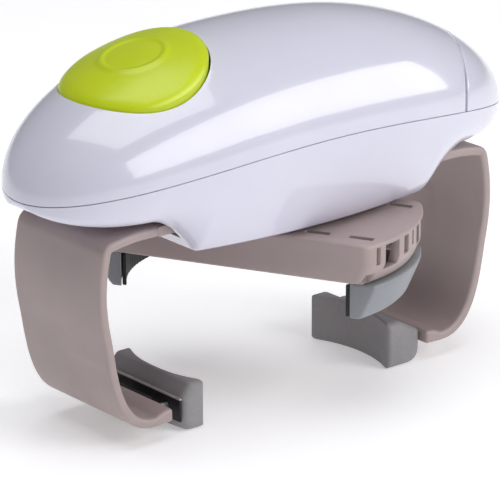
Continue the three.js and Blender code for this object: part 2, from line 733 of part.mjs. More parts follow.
function jawLiner() {
  const ring = turn([
    [lidRadius, turntableFoot - 1.2], [lidRadius + linerThickness, turntableFoot - 1.2],
    [lidRadius + linerThickness, jawFoot + 0.3], [lidRadius, jawFoot + 0.3], [lidRadius, turntableFoot - 1.2],
  ], 96);
  return common(ring, box(20, 60, -jawHalfWidth + 0.6, jawHalfWidth - 0.6, -40, 0));
}

function addTurntable() {
  add('turntable_body', turntableBody(), 'taupe', turntable);
  add('turntable_cover', turntableCover(), 'taupe', turntable);
  [-1, 1].forEach((side, i) => {
    const screw = headDownScrew(0, side * coverScrewY, turntableFoot + 0.5, 8);
    add(`turntable_screw_${i + 1}`, cut(screw, disc(3, -30, turntableFoot - 0.6, 0, side * coverScrewY)),
      'steel', turntable);
  });
  add('right_lid_jaw', jaw(), 'jawGrey', turntable);
  add('left_lid_jaw', jaw(), 'jawGrey', turntableBack);
  add('right_jaw_liner', jawLiner(), 'black', turntable);
  add('left_jaw_liner', jawLiner(), 'black', turntableBack);
  const groove = hubRadius - 1.2 + fit;
  const ring = cut(
    disc(groove + 4, wall + 0.6, wall + 2.1, 0, 0, 40),
    disc(groove, 0, 10, 0, 0, 40), box(0, 30, -3, 3, 0, 10),
  );
  add('turntable_retainer', ring, 'steel', turntable);
  const jawPinion = cut(
    gear(jawPinionTeeth, rackModule, -10.2, -5, Math.PI / 2),
    disc(spindleRadius + fit, -20, 0, 0, 0, 20),
  );
  add('jaw_pinion', jawPinion, 'nylon', turntable);
}

// ---- drive --------------------------------------------------------------------------
const spindleTop = upperPlateBottom + gearPlateThickness + 2.6;
const mainFoot = 20.8;
const mainTop = 24.3;
const secondWheelFoot = mainTop + 0.7;
const secondWheelTop = secondWheelFoot + 2.5;
const firstWheelFoot = upperPlateBottom + gearPlateThickness + 0.7;
const firstWheelTop = firstWheelFoot + 2.5;
const bore = (axis, radius = gearPinRadius + fit) => disc(radius, -60, 60, axis.x, axis.y, 10);
const at = (shape, axis) => shape.translate([axis.x, axis.y, 0]);

function addSpindle() {
  add('drive_spindle', disc(spindleRadius, turntableFoot + 0.8, spindleTop, 0, 0, 20), 'steel', turntable);
  const sun = cut(planetGear(sunTeeth, 15.7, 20.2), disc(spindleRadius + fit, 0, 40, 0, 0, 20));
  add('sun_gear', sun, 'brass', turntable);
  const foot = upperPlateBottom + gearPlateThickness + fit;
  const clip = cut(
    disc(spindleRadius + 2, foot, foot + 0.9, 0, 0, 24),
    disc(spindleRadius + fit, 0, 60, 0, 0, 20), box(0, 10, -1, 1, 0, 60),
  );
  add('spindle_clip', clip, 'steel', turntable);
}

function addArmDrive() {
  const shaft = spindleRadius + slide;
  const pinion = cut(
    join(
      gear(armPinionTeeth, rackModule, 5.7, 10.4, Math.PI / 2),
      disc(6, 10.2, 13.6, 0, 0, 32), disc(4.6, 13.5, 15.2, 0, 0, 24),
    ),
    disc(shaft, 0, 30, 0, 0, 24),
  );
  add('arm_pinion', pinion, 'nylon');
  const pitch = pitchRadius(ringTeeth, planetModule);
  const teeth = raise(outline(toothRing(ringTeeth, pitch + 0.2, pitch + 0.9, 0.44, 0.7)), 15.4, 30);
  const ring = cut(
    disc(pitch + 2.6, 13.9, 20, 0, 0, 56), teeth, disc(4.6 + fit, 0, 30, 0, 0, 24),
  );
  add('ring_gear', ring, 'nylon');
}

function addPlanets() {
  const reach = pitchRadius(sunTeeth + planetTeeth, planetModule);
  const seats = [];
  for (let i = 0; i < planetCount; i += 1) {
    const angle = 2 * Math.PI * i / planetCount;
    seats.push(new THREE.Vector2(reach * Math.cos(angle), reach * Math.sin(angle)));
  }
  const pins = seats.map((seat) => disc(gearPinRadius, 15.9, mainFoot + 0.1, seat.x, seat.y, 12));
  const wheel = gear(mainTeeth, planetModule, mainFoot, mainTop);
  add('main_gear', cut(join(wheel, ...pins), disc(spindleRadius + slide, 0, 30, 0, 0, 20)), 'nylon');
  seats.forEach((seat, i) => {
    add(`planet_gear_${i + 1}`, cut(at(planetGear(planetTeeth, 15.7, 20.2), seat), bore(seat)), 'nylon');
  });
}

// The phase that puts a tooth gap of the driven wheel on the line to a driving tooth at its own phase.
function meshPhase(axis, teeth, phase, other, otherTeeth) {
  const towards = Math.atan2(other.y - axis.y, other.x - axis.x);
  const share = (towards - phase) * teeth / (2 * Math.PI);
  return towards + Math.PI + (share - 0.5) * 2 * Math.PI / otherTeeth;
}

function addGearTrain() {
  const secondPhase = meshPhase(centre, mainTeeth, 0, secondAxis, smallPinionTeeth);
  const second = join(
    gear(smallPinionTeeth, planetModule, mainFoot - 0.4, mainTop + 0.4, secondPhase),
    disc(3.2, mainTop + 0.2, secondWheelFoot + 0.2),
    gear(secondWheelTeeth, trainModule, secondWheelFoot, secondWheelTop, 0),
  );
  add('second_gear', cut(at(second, secondAxis), bore(secondAxis)), 'nylon');
  const firstPhase = meshPhase(secondAxis, secondWheelTeeth, 0, firstAxis, smallPinionTeeth);
  const first = join(
    gear(smallPinionTeeth, trainModule, secondWheelFoot - 0.2, secondWheelTop + 0.4, firstPhase),
    disc(2.4, secondWheelTop + 0.2, firstWheelFoot + 0.2, 0, 0, 20),
    gear(firstWheelTeeth, trainModule, firstWheelFoot, firstWheelTop, 0),
  );
  add('first_gear', cut(at(first, firstAxis), bore(firstAxis)), 'nylon');
  const motorPhase = meshPhase(firstAxis, firstWheelTeeth, 0, motorAxis, motorPinionTeeth);
  const motorPinion = gear(
    motorPinionTeeth, trainModule, firstWheelFoot - 0.2, firstWheelTop + 0.5, motorPhase,
  );
  add('motor_pinion', cut(at(motorPinion, motorAxis), bore(motorAxis)), 'brass');
  const pinFoot = lowerPlateBottom + 0.4;
  const secondPin = disc(gearPinRadius, pinFoot, upperPlateBottom + 1.4, 0, 0, 12);
  const firstPin = disc(gearPinRadius, pinFoot, firstWheelTop + 1.2, 0, 0, 12);
  add('second_gear_pin', at(secondPin, secondAxis), 'steel');
  add('first_gear_pin', at(firstPin, firstAxis), 'steel');
}

const postSpots = [[9, 19.3], [9, -19.3], [-38, 16.5], [-38, -16.5]];

function roundedPlate(x0, x1, halfWidth, radius) {
  const shape = new THREE.Shape();
  shape.moveTo(x0 + radius, -halfWidth);
  shape.lineTo(x1 - radius, -halfWidth);
  shape.absarc(x1 - radius, -halfWidth + radius, radius, -Math.PI / 2, 0);
  shape.absarc(x1 - radius, halfWidth - radius, radius, 0, Math.PI / 2);
  shape.absarc(x0 + radius, halfWidth - radius, radius, Math.PI / 2, Math.PI);
  shape.absarc(x0 + radius, -halfWidth + radius, radius, Math.PI, Math.PI * 1.5);
  return shape;
}

function addGearbox() {
  const lowerTop = lowerPlateBottom + gearPlateThickness;
  const ears = plateScrewXs.flatMap((x) => [-1, 1].map((side) => join(
    disc(bossRadius, lowerPlateBottom, lowerTop, x, side * bossY, 20),
    box(
      x - 3, x + 3, Math.min(side * 15, side * bossY), Math.max(side * 15, side * bossY),
      lowerPlateBottom, lowerTop,
    ),
  )));
  const earHoles = plateScrewXs.flatMap((x) =>
    [-1, 1].map((side) => disc(screwHole, 0, 30, x, side * bossY, 12)));
  const spots = postSpots.map(([x, y]) => new THREE.Vector2(x, y));
  const lower = cut(
    join(raise(roundedPlate(-49, 19, 21.4, 6), lowerPlateBottom, lowerTop, 5), ...ears),
    ...earHoles, disc(6.5, 0, 30), bore(firstAxis), bore(secondAxis),
  );
  add('lower_gear_plate', common(lower, hullForm(wall + slide, 2)), 'steel');
  const upperTop = upperPlateBottom + gearPlateThickness;
  const upper = cut(
    raise(roundedPlate(-42, 13, 21.4, 6), upperPlateBottom, upperTop, 5),
    bore(centre, spindleRadius + fit), bore(motorAxis, 3.6), bore(firstAxis, 4.2), bore(secondAxis),
    ...spots.map((spot) => bore(spot, screwHole)),
  );
  add('upper_gear_plate', upper, 'steel');
  spots.forEach((spot, i) => {
    const post = join(
      disc(1.9, lowerTop + fit, upperPlateBottom - fit, spot.x, spot.y, 10),
      disc(1, upperPlateBottom - 1, upperTop + 0.5, spot.x, spot.y, 8),
      disc(1.8, upperTop + fit, upperTop + 1.1, spot.x, spot.y, 10),
    );
    add(`gear_plate_post_${i + 1}`, post, 'steel');
  });
  plateScrewXs.forEach((x, i) => {
    const y = (i === 0 ? -1 : 1) * bossY;
    add(`chassis_screw_${i + 1}`, headUpScrew(x, y, lowerTop + fit, 8), 'steel');
  });
}

function addMotor() {
  const top = upperPlateBottom - fit;
  const can = join(
    disc(motorRadius, top - motorLength, top, 0, 0, 40),
    disc(3, top - 1, upperPlateBottom + gearPlateThickness - 0.4, 0, 0, 24),
    disc(2.4, top - motorLength - 0.4, top - motorLength + 0.5, 0, 0, 20),
  );
  const motor = cut(can, disc(1.3, top - 4, 60, 0, 0, 14));
  add('motor', at(motor, motorAxis), 'steel');
  add('motor_shaft', at(disc(1, top - 3, firstWheelTop + 1.2, 0, 0, 14), motorAxis), 'steel');
}

// ---- batteries ----------------------------------------------------------------------
const cellY = cellRadius + 0.35;
const cellEndX = cellStartX - 1 + cellLength;
const trayBottom = cellAxisHeight - cellRadius - 1.8;
const trayHalf = cellY + cellRadius + 1.2;
const doorWallX = cellEndX + 3.9;
const housingScrewTop = 38;

function cell(y, towardsTail) {
  const nub = 1.1;
  const start = cellEndX - cellLength;
  const body = towardsTail ? [start, cellEndX - nub] : [start + nub, cellEndX];
  const tip = towardsTail ? [cellEndX - nub - 0.1, cellEndX] : [start, start + nub + 0.1];
  return join(rod(cellRadius, ...body, y, cellAxisHeight), rod(2.7, ...tip, y, cellAxisHeight, 16));
}

function addBatteries() {
  add('battery_1', cell(cellY, false), 'cell');
  add('battery_2', cell(-cellY, true), 'cell');
  const start = cellEndX - cellLength;
  const wallX = start - 5.2;
  const tray = cut(
    join(
      box(wallX, cellEndX + 0.4, -trayHalf, trayHalf, trayBottom, cellAxisHeight - 2),
      box(wallX, wallX + 1.5, -trayHalf, trayHalf, trayBottom, cellAxisHeight + 8),
    ),
    rod(cellRadius + fit, wallX + 1.5, 90, cellY, cellAxisHeight, 32),
    rod(cellRadius + fit, wallX + 1.5, 90, -cellY, cellAxisHeight, 32),
  );
  add('battery_tray', common(tray, hullForm(wall + fit, 20)), 'white');
  const plateX = wallX + 1.5 + fit;
  const plus = join(
    box(plateX, plateX + 0.6, cellY - 5, cellY + 5, cellAxisHeight - 5, cellAxisHeight + 5),
    box(plateX, start - fit, cellY - 1.8, cellY + 1.8, cellAxisHeight - 1.8, cellAxisHeight + 1.8),
  );
  add('battery_contact_plus', plus, 'steel');
  const lying = (geometry, x, y) => solid(geometry.rotateY(Math.PI / 2).translate(x, y, cellAxisHeight));
  const minusCoil = coil(3.4, 0.7, 2, 0.5, start - fit - plateX - 0.5);
  add('battery_spring_minus', lying(minusCoil, plateX, -cellY), 'steel');
  const bridgeX = doorWallX - fit - 0.6;
  const bridge = join(
    box(bridgeX, bridgeX + 0.6, -12, 12, cellAxisHeight, cellAxisHeight + 6),
    box(cellEndX + fit, bridgeX + 0.1, -cellY - 1.8, -cellY + 1.8, cellAxisHeight, cellAxisHeight + 2.4),
  );
  add('battery_bridge_contact', bridge, 'steel');
}

// ---- the whole object ---------------------------------------------------------------
add('upper_housing', upperHousing(), 'white');
add('lower_housing', lowerHousing(), 'white');
add('battery_door', batteryDoor(), 'white');
add('power_button', powerButton(), 'lime');
addSwitch();
addArmsAndPads();
addTurntable();
addSpindle();
addArmDrive();
addPlanets();
addGearTrain();
addGearbox();
addMotor();
addBatteries();
let screwCount = 0;
for (const x of [-housingScrewX, housingScrewX]) {
  for (const y of [-bossY, bossY]) {
    screwCount += 1;
    const length = housingScrewTop - wall;
    add(`housing_screw_${screwCount}`, headDownScrew(x, y, wall + 0.2, length), 'steel');
  }
}

export default object;
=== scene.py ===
"""Battery jar opener: detailed pieces, materials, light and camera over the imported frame.

Lengths are in millimetres, measured from the housing's flat underside, until a mesh is
made: every mesh is then put in metres, lifted by STAND to stand on its jar pads.
"""
import math

import bmesh
import bpy
import numpy as np
from mathutils import Matrix, Vector


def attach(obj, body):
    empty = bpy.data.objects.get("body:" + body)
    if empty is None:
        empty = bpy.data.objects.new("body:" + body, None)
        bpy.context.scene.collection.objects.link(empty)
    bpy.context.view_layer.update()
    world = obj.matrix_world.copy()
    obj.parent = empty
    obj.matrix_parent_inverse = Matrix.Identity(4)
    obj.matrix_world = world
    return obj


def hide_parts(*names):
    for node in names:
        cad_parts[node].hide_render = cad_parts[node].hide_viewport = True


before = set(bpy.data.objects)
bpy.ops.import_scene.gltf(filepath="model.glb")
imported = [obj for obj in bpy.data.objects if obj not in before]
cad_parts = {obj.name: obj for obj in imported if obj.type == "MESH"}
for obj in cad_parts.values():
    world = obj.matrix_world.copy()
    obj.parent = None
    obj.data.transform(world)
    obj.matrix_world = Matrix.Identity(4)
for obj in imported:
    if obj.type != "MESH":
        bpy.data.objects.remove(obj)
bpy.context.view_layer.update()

# ---- the housing's form, as the CAD has it ------------------------------------------
STAND = 60.0
WALL = 2.2
HALF_LENGTH = 92.0
HALF_WIDTH = 38.2
SEAM_END = 19.3
SEAM_RISE = 10.7
CROWN_HEIGHT = 29.5
CROWN_PEAK_X = -4.9
PLAN_POWER = 3.03      # how square the rounded outlines are: 2 is an ellipse
CROWN_POWER = 2.93
ACROSS_POWER = 2.1
UPWARD_POWER = 2.09
FLOOR_HALF_LENGTH = 45.2
FLOOR_CORNER = 24.6
FLOOR_BULGE = 5.1
SCOOP_END = 62.0
OVERHANG = 12.3
SEAM_GAP = 0.15
BUTTON_X = -48.7
BUTTON_HALF_LENGTH = 21.4
BUTTON_HALF_WIDTH = 24.3
BUTTON_RISE = 2.6
BUTTON_GAP = 0.6
DOOR_X = 69.5
DOOR_SWEEP = 0.0124

# ---- arms, pads, turntable and jaws -------------------------------------------------
ARM_HALF_WIDTH = 21.8
ARM_WALL = 3.1
ARM_REACH = 78.9
ARM_DROP = 54.0
LIP_END = 51.6
LIP_THICKNESS = 4.3
PLATE_TOP = 9.5
PLATE_INNER = 40.0
JAR_RADIUS = 41.5
LID_RADIUS = 41.5
PAD_HALF_WIDTH = 19.5
PAD_TOP = 44.5
PAD_SLOPE = 4.8
LEFT_PAD_THICKNESS = 4.6
BACKING_THICKNESS = 1.1
FIT = 0.3              # gap between pieces that touch
SLIDE = 0.4            # gap beside pieces that slide
TURNTABLE_ANGLE = math.radians(-62)
TURNTABLE_HALF_WIDTH = 23.8
TURNTABLE_RADIUS = 51.0
TURNTABLE_FOOT_RADIUS = 48.3
TURNTABLE_TOP = -1.4
TURNTABLE_FOOT = -14.7
TURNTABLE_WALL = 2.2
TURNTABLE_EDGE = 1.2
HUB_RADIUS = 10.5
SPINDLE_RADIUS = 2.5
JAW_HALF_WIDTH = 20.6
JAW_RADIUS = 50.6
JAW_FOOT = -26.5
JAW_TRAVEL = 24.0
LINER_THICKNESS = 1.3
JAW_RACK_TOP = -5.6
JAW_RACK_FOOT = -9.6
NECK = (40.0, 44.0, 8.4, 12.4)
JAW_RACK_PITCH_Y = 7.15
ARM_RACK_PITCH_Y = 8.15
ARM_RACK_DEPTH = 5.4
BOSS_RADIUS = 3.1      # chassis bosses in the lower housing
BOSS_X = 24.0
BOSS_TOP = 26.0
CELL_BAND_X = 60.0     # where the coppery band by the terminals starts
DOOR_WALL_X = 79.0     # wall inside the battery door, past the cells' ends
DOOR_WALL_HALF = 13.0
DOOR_WALL_FOOT = 24.0


def seam_height(x):
    return SEAM_END + SEAM_RISE * (1 - (x / HALF_LENGTH) ** 2)


def plan_half_width(x, inset=0.0):
    share = min(1.0, abs(x / (HALF_LENGTH - inset)))
    return (HALF_WIDTH - inset) * math.sqrt(1 - share ** PLAN_POWER)


def crown_rise(x, inset=0.0):
    end = math.copysign(HALF_LENGTH - inset, x - CROWN_PEAK_X)
    share = min(1.0, abs((x - CROWN_PEAK_X) / (end - CROWN_PEAK_X)))
    return (CROWN_HEIGHT - inset) * math.sqrt(1 - share ** CROWN_POWER)


def crown_height(x, y, inset=0.0):
    across = min(1.0, abs(y) / max(plan_half_width(x, inset), 1e-6))
    return seam_height(x) + crown_rise(x, inset) * (1 - across ** ACROSS_POWER) ** (1 / UPWARD_POWER)


def door_line(y):
    return DOOR_X - DOOR_SWEEP * y * y


def underside_height(x):
    out = abs(x)
    soft = 1.2
    steep = 2 * OVERHANG / (SCOOP_END - FLOOR_HALF_LENGTH)
    if out <= FLOOR_HALF_LENGTH - soft:
        return 0.0
    if out <= FLOOR_HALF_LENGTH + soft:
        return steep * (out - FLOOR_HALF_LENGTH + soft) ** 2 / (4 * soft)
    if out <= SCOOP_END:
        share = (out - FLOOR_HALF_LENGTH) / (SCOOP_END - FLOOR_HALF_LENGTH)
        return OVERHANG * (1 - (1 - share) ** 2)
    share = min(1.0, (out - SCOOP_END) / (HALF_LENGTH - SCOOP_END))
    return OVERHANG + (SEAM_END - OVERHANG) * (1 - math.sqrt(1 - share ** 2.5))


def underside_half_width(x):
    out = abs(x)
    if out <= FLOOR_HALF_LENGTH:
        return FLOOR_CORNER + FLOOR_BULGE * (1 - (out / FLOOR_HALF_LENGTH) ** 2)
    share = min(1.0, (out - FLOOR_HALF_LENGTH) / (HALF_LENGTH - FLOOR_HALF_LENGTH))
    return FLOOR_CORNER * math.sqrt(1 - share ** 2)


# ---- making meshes ------------------------------------------------------------------
def make(name, points, faces, turn=0.0):
    """An object from millimetre points, turned about the centre line and put in place."""
    mesh = bpy.data.meshes.new(name)
    placed = Matrix.Rotation(turn, 4, "Z")
    points = [placed @ Vector(p) for p in points]
    mesh.from_pydata([(p.x / 1000, p.y / 1000, (p.z + STAND) / 1000) for p in points], [], faces)
    bm = bmesh.new()
    bm.from_mesh(mesh)
    bmesh.ops.remove_doubles(bm, verts=bm.verts, dist=2e-6)
    bmesh.ops.dissolve_degenerate(bm, edges=bm.edges, dist=1e-6)
    bmesh.ops.recalc_face_normals(bm, faces=bm.faces)
    # An open shell, unlike a closed one, may come out facing its own middle.
    middle = sum((v.co for v in bm.verts), Vector()) / len(bm.verts)
    facing = sum(f.calc_area() * f.normal.dot(f.calc_center_median() - middle) for f in bm.faces)
    if facing < 0 and any(edge.is_boundary for edge in bm.edges):
        bmesh.ops.reverse_faces(bm, faces=bm.faces)
    bm.to_mesh(mesh)
    bm.free()
    piece = bpy.data.objects.new(name, mesh)
    bpy.context.scene.collection.objects.link(piece)
    return piece


def modifier(piece, kind, **values):
    made = piece.modifiers.new(kind.lower(), kind)
    for key, value in values.items():
        setattr(made, key, value)
    return made


def settle(piece, sharp=32):
    """Applies the modifiers and shades the result smooth, with edges kept crisp."""
    seen = bpy.context.evaluated_depsgraph_get()
    mesh = bpy.data.meshes.new_from_object(piece.evaluated_get(seen))
    piece.modifiers.clear()
    old = piece.data
    piece.data = mesh
    bpy.data.meshes.remove(old)
    mesh.shade_smooth()
    mesh.set_sharp_from_angle(angle=math.radians(sharp))
    return piece


def carve(piece, cutters, operation="DIFFERENCE"):
    for cutter in cutters:
        modifier(piece, "BOOLEAN", operation=operation, object=cutter, solver="EXACT")
    settle(piece)
    for cutter in cutters:
        bpy.data.objects.remove(cutter)


def join(name, pieces):
    """One object from several shells."""
    bm = bmesh.new()
    for piece in pieces:
        bm.from_mesh(piece.data)
    mesh = bpy.data.meshes.new(name)
    bm.to_mesh(mesh)
    bm.free()
    for piece in pieces:
        bpy.data.objects.remove(piece)
    whole = bpy.data.objects.new(name, mesh)
    bpy.context.scene.collection.objects.link(whole)
    mesh.shade_smooth()
    mesh.set_sharp_from_angle(angle=math.radians(32))
    return whole


def bevel(piece, width, segments=2, angle=40):
    modifier(piece, "BEVEL", width=width / 1000, segments=segments, limit_method="ANGLE",
             angle_limit=math.radians(angle), use_clamp_overlap=True)


def skin(rings, closed=True, capped=True):
    """Points and faces through rings of equal length."""
    count = len(rings[0])
    points = [point for ring in rings for point in ring]
    faces = []
    around = count if closed else count - 1
    for i in range(len(rings) - 1):
        for k in range(around):
            a = i * count + k
            b = i * count + (k + 1) % count
            faces.append((a, b, b + count, a + count))
    if capped:
        faces.append(tuple(range(count)))
        faces.append(tuple(range(len(points) - count, len(points))))
    return points, faces


def offset(points, inset):
    """A closed outline moved in by inset, corners mitred. It runs anticlockwise."""
    p = np.array(points, float)
    before = p - np.roll(p, 1, 0)
    after = np.roll(p, -1, 0) - p
    before /= np.maximum(np.linalg.norm(before, axis=1, keepdims=True), 1e-9)
    after /= np.maximum(np.linalg.norm(after, axis=1, keepdims=True), 1e-9)
    n1 = np.stack([-before[:, 1], before[:, 0]], 1)
    n2 = np.stack([-after[:, 1], after[:, 0]], 1)
    mid = n1 + n2
    mid /= np.maximum((mid * n1).sum(1, keepdims=True), 0.5)
    return p + mid * inset


def area(points):
    p = np.array(points, float)
    q = np.roll(p, -1, 0)
    return 0.5 * float((p[:, 0] * q[:, 1] - q[:, 0] * p[:, 1]).sum())


def fillet(corners, radii, steps=5):
    """A closed outline with each corner rounded by its radius."""
    c = [Vector(p) for p in corners]
    out = []
    for i, corner in enumerate(c):
        a = c[i - 1] - corner
        b = c[(i + 1) % len(c)] - corner
        reach = min(0.48 * min(a.length, b.length), radii[i] / max(math.tan(a.angle(b) / 2), 1e-3))
        start = corner + a.normalized() * reach
        end = corner + b.normalized() * reach
        for k in range(steps + 1):
            t = k / steps
            w = 0.72
            top = (1 - t) ** 2 * start + 2 * t * (1 - t) * w * corner + t * t * end
            out.append(top / ((1 - t) ** 2 + 2 * t * (1 - t) * w + t * t))
    return [(p.x, p.y) for p in out]


def edge_steps(low, high, radius, steps=5, middle=1):
    """(position, inset) pairs from low to high with both ends rounded by radius."""
    near = []
    for k in range(steps, -1, -1):
        angle = math.pi / 2 * k / steps
        near.append((low + radius * (1 - math.sin(angle)), radius * (1 - math.cos(angle))))
    far = [(high - (place - low), inset) for place, inset in reversed(near)]
    start = low + radius
    between = [(start + (far[0][0] - start) * k / (middle + 1), 0.0) for k in range(1, middle + 1)]
    return near + between + far


def slab(name, outline, z0, z1, radius=0.3, turn=0.0):
    """A plan outline raised from z0 to z1 with rounded edges."""
    flat = outline if area(outline) > 0 else outline[::-1]
    rings = []
    for z, inset in edge_steps(z0, z1, radius, steps=2, middle=0):
        rings.append([(x, y, z) for x, y in offset(flat, inset)])
    return make(name, *skin(rings), turn=turn)


def prism(name, outline, z0, z1, turn=0.0):
    """A sharp-edged cutter."""
    rings = [[(x, y, z) for x, y in outline] for z in (z0, z1)]
    return make(name, *skin(rings), turn=turn)


def circle(radius, x=0.0, y=0.0, sides=64):
    return [(x + radius * math.cos(2 * math.pi * k / sides), y + radius * math.sin(2 * math.pi * k / sides))
            for k in range(sides)]


def block(x0, x1, y0, y1):
    return [(x0, y0), (x1, y0), (x1, y1), (x0, y1)]


def trim(points, faces, keep):
    """Cuts a skin along the line where keep(x, y) is nought and leaves the positive side."""
    p = [np.array(q, float) for q in points]
    value = [keep(q[0], q[1]) for q in p]
    nearest = {}
    edges = set()
    for face in faces:
        for a, b in zip(face, face[1:] + face[:1]):
            edges.add((min(a, b), max(a, b)))
    for a, b in edges:
        if value[a] * value[b] < 0:
            t = value[a] / (value[a] - value[b])
            cross = p[a] + (p[b] - p[a]) * t
            for v, share in ((a, t), (b, 1 - t)):
                if share < 0.35 and (v not in nearest or share < nearest[v][0]):
                    nearest[v] = (share, cross)
    for v, (_, cross) in nearest.items():
        p[v] = cross
        value[v] = 0.0
    made = {}
    out = []

    def crossing(a, b):
        key = (min(a, b), max(a, b))
        if key not in made:
            t = value[key[0]] / (value[key[0]] - value[key[1]])
            p.append(p[key[0]] + (p[key[1]] - p[key[0]]) * t)
            made[key] = len(p) - 1
        return made[key]

    for face in faces:
        if all(value[v] <= 0 for v in face):
            continue
        ring = []
        for a, b in zip(face, face[1:] + face[:1]):
            if value[a] >= 0:
                ring.append(a)
            if value[a] * value[b] < 0:
                ring.append(crossing(a, b))
        if len(ring) > 2:
            out.append(tuple(ring))
    used = sorted({v for face in out for v in face})
    index = {v: i for i, v in enumerate(used)}
    return [tuple(p[v]) for v in used], [tuple(index[v] for v in face) for face in out]


# ---- materials ----------------------------------------------------------------------
def rgb(red, green, blue):
    """A colour from its 0-255 display values."""
    def linear(c):
        c /= 255
        return c / 12.92 if c <= 0.04045 else ((c + 0.055) / 1.055) ** 2.4
    return (linear(red), linear(green), linear(blue), 1.0)


class Nodes:
    """A material's nodes, with the few that every finish here uses."""

    def __init__(self, name):
        self.material = bpy.data.materials.new(name)
        self.material.use_nodes = True
        self.tree = self.material.node_tree
        self.shader = self.tree.nodes["Principled BSDF"]
        self.place = self.add("ShaderNodeTexCoord").outputs["Object"]

    def add(self, kind, **values):
        node = self.tree.nodes.new(kind)
        for key, value in values.items():
            if hasattr(node, key):
                setattr(node, key, value)
            else:
                node.inputs[key.replace("_", " ")].default_value = value
        return node

    def link(self, output, socket):
        self.tree.links.new(output, socket)

    def stretched(self, scale):
        mapping = self.add("ShaderNodeMapping")
        mapping.inputs["Scale"].default_value = scale
        self.link(self.place, mapping.inputs["Vector"])
        return mapping.outputs["Vector"]

    def noise(self, scale, detail=4.0, roughness=0.55, place=None):
        node = self.add("ShaderNodeTexNoise", Scale=scale, Detail=detail, Roughness=roughness)
        self.link(place or self.place, node.inputs["Vector"])
        return node.outputs["Fac"]

    def range(self, value, low, high, start=0.3, end=0.7):
        node = self.add("ShaderNodeMapRange")
        for key, number in (("From Min", start), ("From Max", end), ("To Min", low), ("To Max", high)):
            node.inputs[key].default_value = number
        self.link(value, node.inputs["Value"])
        return node.outputs["Result"]

    def mix(self, factor, one, other):
        node = self.add("ShaderNodeMix", data_type="RGBA")
        if isinstance(factor, float):
            node.inputs[0].default_value = factor
        else:
            self.link(factor, node.inputs[0])
        for socket, colour in ((node.inputs[6], one), (node.inputs[7], other)):
            if isinstance(colour, tuple):
                socket.default_value = colour
            else:
                self.link(colour, socket)
        return node.outputs[2]

    def bump(self, height, strength, distance, normal=None):
        node = self.add("ShaderNodeBump", Strength=strength, Distance=distance)
        self.link(height, node.inputs["Height"])
        if normal is not None:
            self.link(normal, node.inputs["Normal"])
        return node.outputs["Normal"]

    def done(self, colour, roughness, normal=None, **sockets):
        self.link(colour, self.shader.inputs["Base Color"])
        self.link(roughness, self.shader.inputs["Roughness"])
        if normal is not None:
            self.link(normal, self.shader.inputs["Normal"])
        for key, value in sockets.items():
            self.shader.inputs[key.replace("_", " ")].default_value = value
        return self.material


def plastic(name, colour, shade, roughness, spread=0.05, grain=0.25, grain_scale=2600.0, **sockets):
    """Moulded plastic: cloudy colour, fine spark-eroded grain, and slow flow marks."""
    n = Nodes(name)
    cloud = n.range(n.noise(38.0, 5.0), 0.0, 1.0)
    tint = n.mix(cloud, colour, shade)
    fine = n.noise(grain_scale, 2.0, 0.6)
    flow = n.noise(120.0, 3.0, 0.5, n.stretched((0.35, 1.0, 1.0)))
    rough = n.range(n.noise(85.0, 6.0, 0.6), roughness - spread, roughness + spread)
    bumped = n.bump(fine, grain, 0.00003)
    bumped = n.bump(flow, 0.12, 0.00012, bumped)
    return n.done(tint, rough, bumped, **sockets)


def rubber(name, colour, shade, roughness=0.72):
    """Soft grip rubber: pebbled skin with dusty lighter specks."""
    n = Nodes(name)
    cells = n.add("ShaderNodeTexVoronoi", Scale=1400.0)
    n.link(n.place, cells.inputs["Vector"])
    tint = n.mix(n.range(n.noise(60.0, 6.0), 0.0, 1.0), colour, shade)
    dust = n.range(n.noise(900.0, 3.0), 0.0, 0.25, 0.55, 0.75)
    tint = n.mix(dust, tint, tuple(min(1.0, c * 1.6) for c in shade[:3]) + (1.0,))
    rough = n.range(n.noise(140.0, 4.0), roughness - 0.08, roughness + 0.08)
    bumped = n.bump(cells.outputs["Distance"], 0.3, 0.00005)
    bumped = n.bump(n.noise(300.0, 3.0), 0.15, 0.0001, bumped)
    return n.done(tint, rough, bumped)


def metal(name, colour, shade, roughness, brush=(60.0, 60.0, 900.0)):
    """Turned or rolled metal: drawn scratches, tarnish clouds, smudged gloss."""
    n = Nodes(name)
    scratch = n.noise(18.0, 6.0, 0.7, n.stretched(brush))
    cloud = n.range(n.noise(110.0, 5.0), 0.0, 1.0)
    tint = n.mix(cloud, colour, shade)
    rough = n.range(scratch, roughness - 0.1, roughness + 0.14)
    return n.done(tint, rough, n.bump(scratch, 0.25, 0.00004), Metallic=1.0)


WHITE = plastic("white_gloss_plastic", rgb(222, 221, 236), rgb(218, 217, 233), 0.2, 0.03, 0.03,
                Coat_Weight=0.8, Coat_Roughness=0.04)
LIME = plastic("lime_plastic", rgb(205, 223, 12), rgb(194, 213, 10), 0.33, 0.04, 0.25,
               Coat_Weight=0.12, Coat_Roughness=0.2)
TAUPE = plastic("taupe_plastic", rgb(174, 158, 155), rgb(166, 150, 148), 0.47, 0.05, 0.5, 1900.0)
PAD = rubber("pad_rubber", rgb(150, 148, 149), rgb(140, 138, 140))
JAW = plastic("jaw_plastic", rgb(148, 152, 156), rgb(138, 142, 147), 0.5, 0.05, 0.45, 1900.0)
LINER = rubber("liner_rubber", rgb(30, 30, 31), rgb(22, 22, 24), 0.6)
BLACK = plastic("black_plastic", rgb(28, 28, 30), rgb(20, 20, 22), 0.5, 0.06, 0.4)
STEEL = metal("steel", rgb(188, 190, 194), rgb(168, 170, 176), 0.34)
BRASS = metal("brass", rgb(200, 162, 82), rgb(176, 136, 66), 0.34)
NYLON = plastic("nylon", rgb(232, 228, 214), rgb(222, 216, 198), 0.48, 0.06, 0.3, 1600.0,
                Subsurface_Weight=0.15, Subsurface_Scale=0.002)


